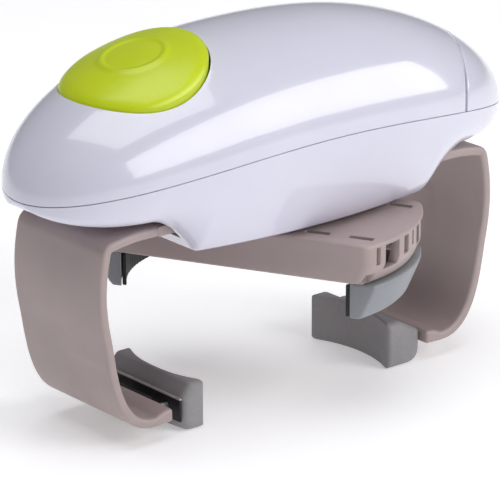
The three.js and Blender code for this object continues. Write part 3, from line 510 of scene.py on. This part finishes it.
def board_material():
    """Green solder mask with a faint glass weave and copper-coloured traces below it."""
    n = Nodes("switch_board_green")
    weave = n.add("ShaderNodeTexChecker", Scale=1600.0)
    n.link(n.place, weave.inputs["Vector"])
    tint = n.mix(n.range(weave.outputs["Fac"], 0.0, 0.3), rgb(38, 96, 58), rgb(30, 78, 46))
    traces = n.add("ShaderNodeTexWave", Scale=160.0, Distortion=1.5, Detail=0.0)
    n.link(n.place, traces.inputs["Vector"])
    tint = n.mix(n.range(traces.outputs["Fac"], 0.0, 0.5, 0.8, 0.9), tint, rgb(64, 128, 80))
    return n.done(tint, n.range(n.noise(200.0), 0.3, 0.45), n.bump(traces.outputs["Fac"], 0.2, 0.00004))


def cell_material():
    """A dry cell's printed sleeve: dark body, a coppery band by the terminal, grey scuffs."""
    n = Nodes("cell_sleeve")
    parts = n.add("ShaderNodeSeparateXYZ")
    n.link(n.place, parts.inputs["Vector"])
    band = n.range(parts.outputs["X"], 0.0, 1.0, CELL_BAND_X / 1000, (CELL_BAND_X + 0.1) / 1000)
    scuff = n.range(n.noise(500.0, 5.0, 0.7), 0.0, 0.35, 0.55, 0.8)
    tint = n.mix(band, rgb(40, 42, 48), rgb(184, 124, 64))
    tint = n.mix(scuff, tint, rgb(128, 128, 132))
    return n.done(tint, n.range(n.noise(240.0), 0.28, 0.42), n.bump(n.noise(700.0), 0.08, 0.00004),
                  Metallic=0.35)


def strip_material():
    """The left pad's backing: steel painted dark for the shade in the gap behind the pad, with a painted
    highlight along its upper edge.
    """
    n = Nodes("strip_steel_painted_shade_and_highlight")
    parts = n.add("ShaderNodeSeparateXYZ")
    n.link(n.place, parts.inputs["Vector"])
    edge = (STAND - PAD_TOP - PAD_SLOPE + 0.7) / 1000
    # Painted highlight: a light band along the strip's upper edge, made patchy by noise. Below it the strip
    # is painted dark for the shade in the gap behind the pad.
    painted_highlight_band = n.range(parts.outputs["Z"], 0.0, 1.0, edge - 0.0003, edge)
    highlight_patchiness = n.range(n.noise(400.0, 5.0), 0.75, 1.0)
    painted_highlight_mask = n.add("ShaderNodeMath", operation="MULTIPLY")
    n.link(painted_highlight_band, painted_highlight_mask.inputs[0])
    n.link(highlight_patchiness, painted_highlight_mask.inputs[1])
    # Painted shade (dark) below the upper edge, painted highlight (light) along it.
    tint = n.mix(painted_highlight_mask.outputs[0], rgb(42, 41, 42), rgb(196, 190, 188))
    return n.done(tint, n.range(n.noise(200.0), 0.36, 0.5), n.bump(n.noise(1500.0), 0.1, 0.00003),
                  Metallic=0.6)


STRIP = strip_material()
BOARD = board_material()
CELL = cell_material()


def finish_with(piece, material):
    piece.data.materials.clear()
    piece.data.materials.append(material)


# ---- housing shells -----------------------------------------------------------------
def crown_skin(lift=SEAM_GAP, stations=150, around=84):
    rings = []
    for i in range(stations + 1):
        x = -HALF_LENGTH * math.cos(math.pi * i / stations)
        half = plan_half_width(x)
        rise = crown_rise(x)
        ring = []
        for k in range(around + 1):
            angle = math.pi * k / around
            c = math.cos(angle)
            y = half * math.copysign(abs(c) ** (2 / ACROSS_POWER), c)
            up = rise * abs(math.sin(angle)) ** (2 / UPWARD_POWER)
            ring.append((x, y, seam_height(x) + lift + up))
        rings.append(ring)
    return skin(rings, closed=False, capped=False)


def beyond_button(x, y):
    across = (x - BUTTON_X) / (BUTTON_HALF_LENGTH + BUTTON_GAP)
    along = y / (BUTTON_HALF_WIDTH + BUTTON_GAP)
    return (math.hypot(across, along) - 1) * BUTTON_HALF_LENGTH


def door_gap(y):
    """The door's gap, opened in two shallow finger scallops on each side."""
    out = abs(y)
    return 0.22 + 0.9 * math.exp(-((out - 31.5) / 4) ** 2) + 0.8 * math.exp(-((out - 18.5) / 2.5) ** 2)


def shell(name, points, faces, lip=0.28):
    piece = make(name, points, faces)
    modifier(piece, "SOLIDIFY", thickness=WALL / 1000, offset=-1.0)
    bevel(piece, lip, 2, 50)
    return settle(piece)


def build_upper_housing():
    points, faces = crown_skin()
    points, faces = trim(points, faces, beyond_button)
    points, faces = trim(points, faces, lambda x, y: door_line(y) - x)
    return shell("upper_housing_shell", points, faces)


def build_battery_door():
    points, faces = crown_skin()
    points, faces = trim(points, faces, lambda x, y: x - door_line(y) - door_gap(y))
    door = shell("battery_door_cover", points, faces)
    rings = []
    for x in (DOOR_WALL_X, DOOR_WALL_X + 1.6):
        across = np.linspace(DOOR_WALL_HALF, -DOOR_WALL_HALF, 15)
        ring = [(x, y, crown_height(x, y, 1.0)) for y in across]
        rings.append([(x, DOOR_WALL_HALF, DOOR_WALL_FOOT), *ring, (x, -DOOR_WALL_HALF, DOOR_WALL_FOOT)])
    web = make("door_web", *skin(rings))
    return join("battery_door_cover", [door, web])


def hull_ring(x):
    top = seam_height(x) - SEAM_GAP
    b = plan_half_width(x)
    e = min(underside_half_width(x), 0.98 * b)
    foot = min(underside_height(x), top)
    bowl = 0.35 + 0.45 * min(1.0, max(0.0, (abs(x) - 30) / 40))
    start = Vector((b, top))
    pull = Vector(((b + e) / 2 + bowl * (b - e) / 2, (top + foot) / 2 + bowl * (foot - top) / 2))
    corner = Vector((e, foot))
    side = []
    for k in range(23):
        t = k / 22
        side.append((1 - t) ** 2 * start + 2 * t * (1 - t) * pull + t * t * corner)
    kept = side[:-3]
    approach = corner - kept[-1]
    soft = min(1.3, 0.5 * approach.length, 0.5 * e)
    before = corner - approach.normalized() * soft
    after = Vector((e - soft, foot))
    stretch = [kept[-1] + (before - kept[-1]) * s for s in (0.5, 1.0)]
    bend = []
    for k in range(1, 6):
        t = k / 6
        bend.append((1 - t) ** 2 * before + 2 * t * (1 - t) * corner + t * t * after)
    half = kept + stretch + bend + [after]
    flat = [Vector((after.x * (1 - 2 * k / 14), foot)) for k in range(1, 14)]
    ring = half + flat + [Vector((-p.x, p.y)) for p in reversed(half)]
    return [(x, p.x, p.y) for p in ring]


def hull_stations():
    half = [FLOOR_HALF_LENGTH * k / 22 - 1.2 * k / 22 for k in range(23)]
    half += [FLOOR_HALF_LENGTH - 1.2 + 2.4 * k / 5 for k in range(1, 6)]
    half += [FLOOR_HALF_LENGTH + 1.2 + (SCOOP_END - FLOOR_HALF_LENGTH - 1.2) * k / 14 for k in range(1, 15)]
    half += [SCOOP_END + (HALF_LENGTH - SCOOP_END) * math.sin(math.pi / 2 * k / 26) for k in range(1, 27)]
    return [-x for x in reversed(half[1:])] + half


def build_lower_housing():
    piece = make("lower_housing_shell", *skin([hull_ring(x) for x in hull_stations()], False, False))
    modifier(piece, "SOLIDIFY", thickness=WALL / 1000, offset=-1.0)
    settle(piece)
    half = ARM_HALF_WIDTH + SLIDE
    cutters = []
    for side in (-1, 1):
        x0, x1 = sorted((side * (FLOOR_HALF_LENGTH - 2), side * SCOOP_END))
        slot = block(x0, x1, -half, half)
        cutters.append(prism("cut", slot, PLATE_TOP - ARM_WALL - 1.9, PLATE_TOP + SLIDE))
    cutters.append(prism("cut", circle(HUB_RADIUS + SLIDE), -1, WALL + 1.5))
    boss_y = half + BOSS_RADIUS
    # A boss's section: an outer wall, a screw hole, and a wider mouth below.
    ring = [(2.5, 1.0), (BOSS_RADIUS, 1.0), (BOSS_RADIUS, BOSS_TOP), (1.3, BOSS_TOP), (1.3, 2.5), (2.5, 2.5)]
    tubes = []
    for x in (-BOSS_X, BOSS_X):
        for y in (-boss_y, boss_y):
            cutters.append(prism("cut", circle(2.45, x, y, 40), -1, WALL + 1))
            rings = [[(x + r * math.cos(a), y + r * math.sin(a), z) for r, z in ring]
                     for a in [2 * math.pi * k / 32 for k in range(32)]]
            rings.append(rings[0])
            tubes.append(make("boss", *skin(rings, True, False)))
    carve(piece, cutters)
    bevel(piece, 0.28, 2, 50)
    settle(piece)
    return join("lower_housing_shell", [piece, *tubes])


# ---- power button -------------------------------------------------------------------
def build_button():
    rings = []
    roll = 0.14
    shares = [k / 34 * (1 - roll) for k in range(1, 35)]
    shares += [1 - roll + roll * math.sin(math.pi / 2 * k / 12) for k in range(1, 13)]
    around = 112

    def ring_at(share, drop):
        ring = []
        for k in range(around):
            a = 2 * math.pi * k / around
            x = BUTTON_X + share * BUTTON_HALF_LENGTH * math.cos(a)
            y = share * BUTTON_HALF_WIDTH * math.sin(a)
            # A raised oval ring, for the finger to find, stands on the dome.
            oval = math.hypot((x - BUTTON_X) / 9.5, y / 10.5)
            ridge = 0.55 * math.exp(-((oval - 1) / 0.095) ** 4)
            # The dome stands lowest at the nose.
            nose = max(0.0, (BUTTON_X - x) / BUTTON_HALF_LENGTH)
            proud = BUTTON_RISE - 1.7 * nose ** 1.5
            ring.append((x, y, crown_height(x, y, -proud) + ridge - drop))
        return ring

    for share in shares:
        out = max(0.0, (share - (1 - roll)) / roll)
        rings.append(ring_at(share, 1.9 * (1 - math.sqrt(max(0.0, 1 - out * out)))))
    for drop in (2.6, 3.6, 4.8, 6.0):
        rings.append(ring_at(1.0, drop))
    rings.append(ring_at(0.93, 6.0))
    rings.append(ring_at(0.93, 4.0))
    points, faces = skin(rings, True, False)
    top = len(points)
    points.append((BUTTON_X, 0.0, crown_height(BUTTON_X, 0.0, -BUTTON_RISE)))
    faces += [(top, k, (k + 1) % around) for k in range(around)]
    faces.append(tuple(range(len(points) - 1 - around, len(points) - 1)))
    piece = make("button_cap", points, faces)
    return settle(piece, 40)


# ---- arms ---------------------------------------------------------------------------
def quadratic(a, b, c, steps):
    out = []
    for k in range(1, steps + 1):
        t = k / steps
        out.append(tuple((1 - t) ** 2 * p + 2 * t * (1 - t) * q + t * t * r for p, q, r in zip(a, b, c)))
    return out


def cubic(a, b, c, d, steps):
    out = []
    for k in range(1, steps + 1):
        t = k / steps
        weights = ((1 - t) ** 3, 3 * t * (1 - t) ** 2, 3 * t * t * (1 - t), t ** 3)
        out.append(tuple(sum(w * p[i] for w, p in zip(weights, (a, b, c, d))) for i in (0, 1)))
    return out


ARM_START = 56.2


def arm_outline():
    """The band's side view, from above the plate's end round to the lip and back."""
    r = ARM_REACH
    inner = PLATE_TOP - ARM_WALL
    lip_foot = -ARM_DROP + 0.2
    lip_top = lip_foot + LIP_THICKNESS
    out = [(ARM_START, PLATE_TOP), (58, PLATE_TOP), (60, PLATE_TOP), (62, PLATE_TOP)]
    out += [(64, PLATE_TOP - 0.06), (66, PLATE_TOP - 0.2), (68, PLATE_TOP - 0.42)]
    out += [(70.4, PLATE_TOP - 0.75), (r - 5.3, PLATE_TOP - 1.3)]
    out += quadratic(out[-1], (r - 2.1, PLATE_TOP - 2), (r - 1.5, 3.5), 12)
    out += quadratic(out[-1], (r + 1.3, -9), (r - 1.6, -22.6), 22)
    out += cubic(out[-1], (r - 3.7, -33), (r - 4.9, -ARM_DROP - 0.3), (58, -ARM_DROP), 34)
    out += [(LIP_END + 0.7, lip_foot + 0.04), (LIP_END, lip_foot + 0.7), (LIP_END, lip_top - 0.7),
            (LIP_END + 0.7, lip_top), (LIP_END + 1.6, lip_top)]
    out += quadratic(out[-1], (LIP_END + 3.6, lip_top), (58, lip_top - 1.5), 8)
    out += cubic(out[-1], (r - 8.4, lip_top - 1.9), (r - 6.7, -33), (r - 1.6 - ARM_WALL, -22), 34)
    out += quadratic(out[-1], (r + 1.3 - ARM_WALL, -9), (r - 1.5 - ARM_WALL, 3), 22)
    out += quadratic(out[-1], (r - 1.8 - ARM_WALL, inner - 1.2), (r - 5.3, inner - 1.3), 10)
    out += [(70.4, inner - 0.7), (66, inner - 0.15), (64, inner), (60, inner), (ARM_START, inner)]
    return out[::-1] if area(out) < 0 else out


def rack_outline(pitch_y, back, x0, x1, first_x, last_x):
    """A rack's plan outline: teeth towards -Y, one every pi millimetres."""
    pitch = math.pi
    tip = pitch_y - 0.8
    root = pitch_y + 1.15
    points = [(x0, back), (x0, root)]
    for i in range(math.ceil(first_x / pitch - 0.5), math.floor(last_x / pitch - 0.5) + 1):
        x = (i + 0.5) * pitch
        points += [(x - 0.28 * pitch, root), (x - 0.12 * pitch, tip)]
        points += [(x + 0.12 * pitch, tip), (x + 0.28 * pitch, root)]
    return points, root


def build_arm(name, turn):
    flat = arm_outline()
    rings = []
    for y, inset in edge_steps(-ARM_HALF_WIDTH, ARM_HALF_WIDTH, 1.15, steps=5, middle=42):
        ring = []
        for (x, z), (px, pz) in zip(offset(flat, inset), flat):
            inner = px < ARM_REACH - 1.6 - ARM_WALL + 1.4 and pz < 2 and pz > -40 and px > 66
            if inner and inset == 0:
                # The inner face is a shade thicker behind a slanting line.
                line = 4 + 0.12 * pz
                fade = min(1.0, (pz + 40) / 12) * min(1.0, (2 - pz) / 6)
                x -= 0.35 / (1 + math.exp(-(y - line) / 0.35)) * fade
            ring.append((x, y, z))
        rings.append(ring)
    band = settle(make(name, *skin(rings), turn=turn), 34)
    outer = ARM_HALF_WIDTH - 0.05
    back = ARM_RACK_PITCH_Y + ARM_RACK_DEPTH
    teeth, root = rack_outline(ARM_RACK_PITCH_Y, back, -9, PLATE_INNER, -8, 28)
    notch_inner = ARM_RACK_PITCH_Y - 1.6
    notch_outer = back + 0.7
    plan = teeth + [(PLATE_INNER, root), (PLATE_INNER, -notch_inner), (56, -notch_inner), (56, -notch_outer),
                    (PLATE_INNER, -notch_outer), (PLATE_INNER, -outer), (ARM_START + 0.6, -outer),
                    (ARM_START + 0.6, outer), (PLATE_INNER, outer), (PLATE_INNER, back)]
    plate = slab("plate", plan, PLATE_TOP - ARM_WALL + 0.04, PLATE_TOP - 0.04, 0.2, turn)
    settle(plate)
    return join(name, [band, plate])


# ---- jar pads -----------------------------------------------------------------------
def swept(name, corners_at, radii, half_width, end_radius, turn=0.0, middle=18, steps=6, corner_steps=5):
    """A section carried across Y, its ends rounded; corners_at(y) gives the section there."""
    rings = []
    for y, inset in edge_steps(-half_width, half_width, end_radius, steps=steps, middle=middle):
        corners = corners_at(y)
        order = -1 if area(corners) < 0 else 1
        moved = offset(corners[::order], inset)
        left = [max(0.15, radius - inset) for radius in radii[::order]]
        rounded = fillet([tuple(p) for p in moved], left, corner_steps)
        rings.append([(x, y, z) for x, z in rounded])
    return settle(make(name, *skin(rings), turn=turn), 40)


def build_pad(name, outer_x, turn):
    def corners(y):
        inner = math.sqrt(JAR_RADIUS ** 2 - y * y)
        top = -PAD_TOP
        return [(inner, top), (JAR_RADIUS + 1.2, top), (outer_x, top - PAD_SLOPE),
                (outer_x, -STAND), (inner, -STAND)]
    return swept(name, corners, [0.9, 2.0, 1.4, 4.5, 0.8], PAD_HALF_WIDTH, 2.6, turn, 24)


def build_backing(turn):
    inner = JAR_RADIUS + LEFT_PAD_THICKNESS + FIT
    outer = inner + BACKING_THICKNESS
    top = -PAD_TOP - PAD_SLOPE + 1
    foot = -STAND + 4
    corners = [(inner, top), (outer, top), (outer, foot), (inner, foot)]
    return swept("left_pad_strip", lambda y: corners, [0.4] * 4, PAD_HALF_WIDTH, 0.5, turn, 2, 3, 3)


# ---- turntable ----------------------------------------------------------------------
def bar_outline(half_width, radius, corner, steps=40):
    """A bar with round ends, its four corners eased."""
    edge = math.asin(half_width / radius)
    ease = corner / radius
    points = []
    for side in (1, -1):
        end = 0 if side > 0 else math.pi
        arc = [(radius * math.cos(end + a), radius * math.sin(end + a))
               for a in np.linspace(-edge + ease, edge - ease, steps)]
        turn_in = Vector((side * radius * math.cos(edge), side * half_width))
        away = Vector((-side * corner, 0))
        opposite = Vector((turn_in.x, -turn_in.y))
        lead = [tuple(p) for p in quadratic(tuple(opposite + away), tuple(opposite), arc[0], 5)[:-1]]
        tail = [tuple(p) for p in quadratic(arc[-1], tuple(turn_in), tuple(turn_in + away), 5)]
        points += [tuple(opposite + away)] + lead + arc + tail
    return points


def turntable_form():
    """The bar's cross-sections from foot to top, drawn in towards the foot."""
    height = TURNTABLE_TOP - TURNTABLE_FOOT
    rings = []
    for z, inset in edge_steps(TURNTABLE_FOOT, TURNTABLE_TOP, TURNTABLE_EDGE, steps=5, middle=7):
        share = (z - TURNTABLE_FOOT) / height
        radius = TURNTABLE_FOOT_RADIUS + (TURNTABLE_RADIUS - TURNTABLE_FOOT_RADIUS) * min(1.0, share / 0.45)
        width = TURNTABLE_HALF_WIDTH - 0.9 * max(0.0, 1 - share / 0.3)
        rings.append([(x, y, z) for x, y in bar_outline(width - inset, radius - inset, 2.4)])
    return rings


def turntable_hollow(roof):
    inner = TURNTABLE_HALF_WIDTH - TURNTABLE_WALL
    rings = [[(x, y, z) for x, y in bar_outline(inner, r - TURNTABLE_WALL, 1.0, 24)]
             for z, r in ((TURNTABLE_FOOT - 1, TURNTABLE_FOOT_RADIUS), (roof, TURNTABLE_RADIUS))]
    return make("cut", *skin(rings), turn=TURNTABLE_ANGLE)


def turntable_windows():
    """Cutters for the windows in both end faces."""
    head = TURNTABLE_TOP - 1.4
    # Middle across the bar, width, and depth below the top.
    windows = [(19.5, 1.7, 7), (13.0, 7.0, 9.2), (5.0, 3.0, 7.3), (0.0, 1.2, 6)]
    cutters = []
    for middle, width, depth in windows:
        for y in sorted({-middle, middle}):
            for end in (-1, 1):
                x0, x1 = sorted((end * 40, end * 55))
                window = block(x0, x1, y - width / 2, y + width / 2)
                cutters.append(prism("cut", window, TURNTABLE_TOP - depth, head, TURNTABLE_ANGLE))
    return cutters


def turntable_slots(roof):
    """Cutters for the two pairs of slots in the top, at each end."""
    cutters = []
    for x in (26.3, 40.5):
        for end in (-1, 1):
            for side in (-1, 1):
                slot = block(end * x - 4, end * x + 4, side * 17 - 1.2, side * 17 + 1.2)
                cutters.append(prism("cut", slot, roof - 1, TURNTABLE_TOP + 1, TURNTABLE_ANGLE))
    return cutters


def turntable_notches():
    """Cutters for a notch in the foot beside each jaw, and the small teeth that stand in it."""
    cutters = []
    teeth = []
    for end in (-1, 1):
        x0, x1 = sorted((end * 40, end * 55))
        y0, y1 = sorted((end * -19.4, end * -22.7))
        notch = block(x0, x1, y0, y1)
        cutters.append(prism("cut", notch, TURNTABLE_FOOT - 1, TURNTABLE_FOOT + 3.6, TURNTABLE_ANGLE))
        for k in range(4):
            y = end * (-19.9 - 0.8 * k)
            x0, x1 = sorted((end * 40.5, end * (43.6 - 0.25 * k)))
            tooth = block(x0, x1, y - 0.2, y + 0.2)
            foot = TURNTABLE_FOOT + 0.3
            teeth.append(slab("tooth", tooth, foot, foot + 3.5, 0.08, TURNTABLE_ANGLE))
    return cutters, teeth


def turntable_hub(roof):
    bore = SPINDLE_RADIUS + FIT
    profile = [(bore, roof), (HUB_RADIUS, roof), (HUB_RADIUS, WALL + 0.3), (HUB_RADIUS - 1.2, WALL + 0.3),
               (HUB_RADIUS - 1.2, WALL + 2.4), (HUB_RADIUS - 0.4, WALL + 2.4), (HUB_RADIUS - 0.4, WALL + 3),
               (bore, WALL + 3)]
    rings = [[(r * math.cos(a), r * math.sin(a), z) for r, z in profile]
             for a in [2 * math.pi * k / 72 for k in range(72)]]
    rings.append(rings[0])
    return make("hub", *skin(rings, True, False))


def build_turntable():
    body = settle(make("turntable_shell", *skin(turntable_form()), turn=TURNTABLE_ANGLE))
    roof = TURNTABLE_TOP - TURNTABLE_WALL
    notches, teeth = turntable_notches()
    bore = prism("cut", circle(SPINDLE_RADIUS + FIT, sides=40), -20, 5, TURNTABLE_ANGLE)
    carve(body, [turntable_hollow(roof), *turntable_windows(), *turntable_slots(roof), *notches, bore])
    bevel(body, 0.22, 2, 50)
    settle(body)
    shells = [body, turntable_hub(roof), *teeth]
    for side in (-1, 1):
        post = circle(2.6, 0, side * 17.5, 32)
        shells.append(slab("post", post, TURNTABLE_FOOT + 1.7, roof + 0.5, 0.15, TURNTABLE_ANGLE))
    return join("turntable_shell", shells)


def build_jaw(name, turn):
    top = TURNTABLE_FOOT - FIT
    inner = LID_RADIUS + LINER_THICKNESS + FIT
    section = [(inner, top), (JAW_RADIUS, top), (JAW_RADIUS, top - 1.4), (JAW_RADIUS - 3.6, JAW_FOOT + 1.2),
               (JAW_RADIUS - 4.8, JAW_FOOT), (inner, JAW_FOOT)]

    def corners(y):
        return [(math.sqrt(r * r - y * y), z) for r, z in section]

    body = swept(name, corners, [0.4, 0.5, 0.8, 1.2, 0.8, 0.5], JAW_HALF_WIDTH, 0.7, turn, 28, 4, 3)
    x0, x1, y0, y1 = NECK
    neck = slab("neck", block(x0 + 1.2, x1, y0, y1), top - 0.5, JAW_RACK_TOP - 0.05, 0.2, turn)
    teeth, root = rack_outline(JAW_RACK_PITCH_Y, y1, -9, x1 - 0.1, -3, JAW_TRAVEL + 7)
    plan = teeth + [(x1 - 0.1, root), (x1 - 0.1, y1)]
    rack = slab("rack", plan, JAW_RACK_FOOT, JAW_RACK_TOP, 0.15, turn)
    return join(name, [body, settle(neck), settle(rack)])


def build_liner(name, turn):
    high = TURNTABLE_FOOT - 1.2
    low = JAW_FOOT + 0.3
    outer = LID_RADIUS + LINER_THICKNESS

    def corners(y):
        # Grip ribs stand along the liner's inner face.
        face = LID_RADIUS + 0.18 * (1 - abs(math.cos(math.pi * y / 2.1)))
        inner_x = math.sqrt(face ** 2 - y * y)
        outer_x = math.sqrt(outer ** 2 - y * y)
        return [(inner_x, low), (outer_x, low), (outer_x, high), (inner_x, high)]

    return swept(name, corners, [0.3, 0.2, 0.2, 0.3], JAW_HALF_WIDTH - 0.6, 0.3, turn, 150, 2, 2)


# ---- putting the pieces on the frame ------------------------------------------------
replaced = set()


def fit_piece(piece, body, nodes, material):
    replaced.update(nodes)
    finish_with(piece, material)
    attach(piece, body)
    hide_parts(*nodes)
    return piece


fit_piece(build_upper_housing(), "housing", ["upper_housing"], WHITE)
fit_piece(build_lower_housing(), "housing", ["lower_housing"], WHITE)
fit_piece(build_battery_door(), "battery_door", ["battery_door"], WHITE)
fit_piece(build_button(), "power_button", ["power_button"], LIME)
for side, turn in (("right", 0.0), ("left", math.pi)):
    arm = side + "_arm"
    fit_piece(build_arm(arm + "_band", turn), arm, [arm], TAUPE)
fit_piece(build_pad("right_jar_grip", LIP_END - FIT, 0.0), "right_arm", ["right_jar_pad"], PAD)
fit_piece(build_pad("left_jar_grip", JAR_RADIUS + LEFT_PAD_THICKNESS, math.pi), "left_pad",
          ["left_jar_pad"], PAD)
fit_piece(build_backing(math.pi), "left_pad", ["left_pad_backing"], STRIP)
fit_piece(build_turntable(), "turntable", ["turntable_body"], TAUPE)
jaw_sides = (("right", TURNTABLE_ANGLE), ("left", TURNTABLE_ANGLE + math.pi))
for side, turn in jaw_sides:
    fit_piece(build_jaw(side + "_jaw_grip", turn), side + "_jaw", [side + "_lid_jaw"], JAW)
for side, turn in jaw_sides:
    jaw = side + "_jaw"
    fit_piece(build_liner(jaw + "_lining", turn), jaw, [jaw + "_liner"], LINER)

# ---- the CAD nodes that stay --------------------------------------------------------
# Every one not named here is steel.
KEPT = {
    "switch_board": BOARD, "switch_body": BLACK, "switch_plunger": JAW, "left_pad_buffer": LINER,
    "battery_1": CELL, "battery_2": CELL, "battery_tray": WHITE, "turntable_cover": TAUPE,
    "motor_pinion": BRASS, "sun_gear": BRASS, "arm_pinion": NYLON, "ring_gear": NYLON,
    "jaw_pinion": NYLON, "main_gear": NYLON, "second_gear": NYLON, "first_gear": NYLON,
    "planet_gear_1": NYLON, "planet_gear_2": NYLON, "planet_gear_3": NYLON,
}
for node_name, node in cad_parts.items():
    if node_name in replaced:
        continue
    material = KEPT.get(node_name, STEEL)
    for material_slot in node.material_slots:
        material_slot.material = material
    if not node.material_slots:
        node.data.materials.append(material)
    if "spring" not in node_name:
        bevel(node, 0.12, 1)


# ---- floor, light and camera --------------------------------------------------------
floor = bpy.data.meshes.new("floor")
floor.from_pydata([(-6, -6, 0), (6, -6, 0), (6, 6, 0), (-6, 6, 0)], [], [(0, 1, 2, 3)])
ground = bpy.data.objects.new("floor", floor)
bpy.context.scene.collection.objects.link(ground)
pale = Nodes("pale_floor")
ground_tint = pale.mix(pale.range(pale.noise(3.0), 0.0, 1.0), rgb(247, 247, 248), rgb(245, 245, 247))
pale.shader.inputs["Emission Color"].default_value = (1.0, 1.0, 1.0, 1.0)
pale.shader.inputs["Emission Strength"].default_value = 0.3
finish_with(ground, pale.done(ground_tint, pale.range(pale.noise(20.0), 0.75, 0.85)))

world = bpy.data.worlds.new("studio")
bpy.context.scene.world = world
world.use_nodes = True
world.node_tree.nodes["Background"].inputs["Color"].default_value = (0.92, 0.93, 1.0, 1.0)
world.node_tree.nodes["Background"].inputs["Strength"].default_value = 0.2

middle = Vector((0.0, 0.0, 0.06))


def softbox(name, place, size, power, aim=middle, tint=(1.0, 1.0, 1.0)):
    data = bpy.data.lights.new(name, "AREA")
    data.shape = "RECTANGLE"
    data.size, data.size_y = size
    data.energy = power
    data.color = tint
    light = bpy.data.objects.new(name, data)
    light.location = place
    light.rotation_euler = (aim - Vector(place)).to_track_quat("-Z", "Y").to_euler()
    bpy.context.scene.collection.objects.link(light)
    return light


key = softbox("key", (0.55, -1.25, 0.85), (0.9, 0.6), 9.5, tint=(1.0, 0.985, 0.975))
softbox("top", (-0.15, 0.0, 1.6), (1.6, 1.3), 15)
rim = softbox("rim", (1.1, 0.8, 0.7), (0.8, 1.0), 1.5)
# One long box, seen only in reflections, makes the highlight along the housing's side. The key
# and the rim light the surfaces without being seen in them.
strip = softbox("strip", (0.42, -1.02, 0.7), (2.5, 0.9), 24)
strip.visible_diffuse = False
key.visible_glossy = False
rim.visible_glossy = False

CAMERA_DISTANCE = 1.10004
azimuth, elevation, roll = (math.radians(a) for a in (-39.467, 19.215, -0.075))
level = math.cos(elevation)
back = Vector((math.sin(azimuth) * level, -math.cos(azimuth) * level, math.sin(elevation)))
aim_point = Vector((-3.672, 0.0, 44.763)) / 1000
right = (-back).cross(Vector((0, 0, 1))).normalized()
up = right.cross(-back)
leaned_right = right * math.cos(roll) + up * math.sin(roll)
leaned_up = up * math.cos(roll) - right * math.sin(roll)
lens = bpy.data.cameras.new("camera")
lens.sensor_width = 36.0
lens.lens = 254.0
lens.clip_start = 0.01
camera = bpy.data.objects.new("camera", lens)
turned = Matrix((leaned_right, leaned_up, back)).transposed()
camera.matrix_world = Matrix.Translation(aim_point + back * CAMERA_DISTANCE) @ turned.to_4x4()
bpy.context.scene.collection.objects.link(camera)
bpy.context.scene.camera = camera
bpy.context.scene.view_settings.view_transform = "Standard"
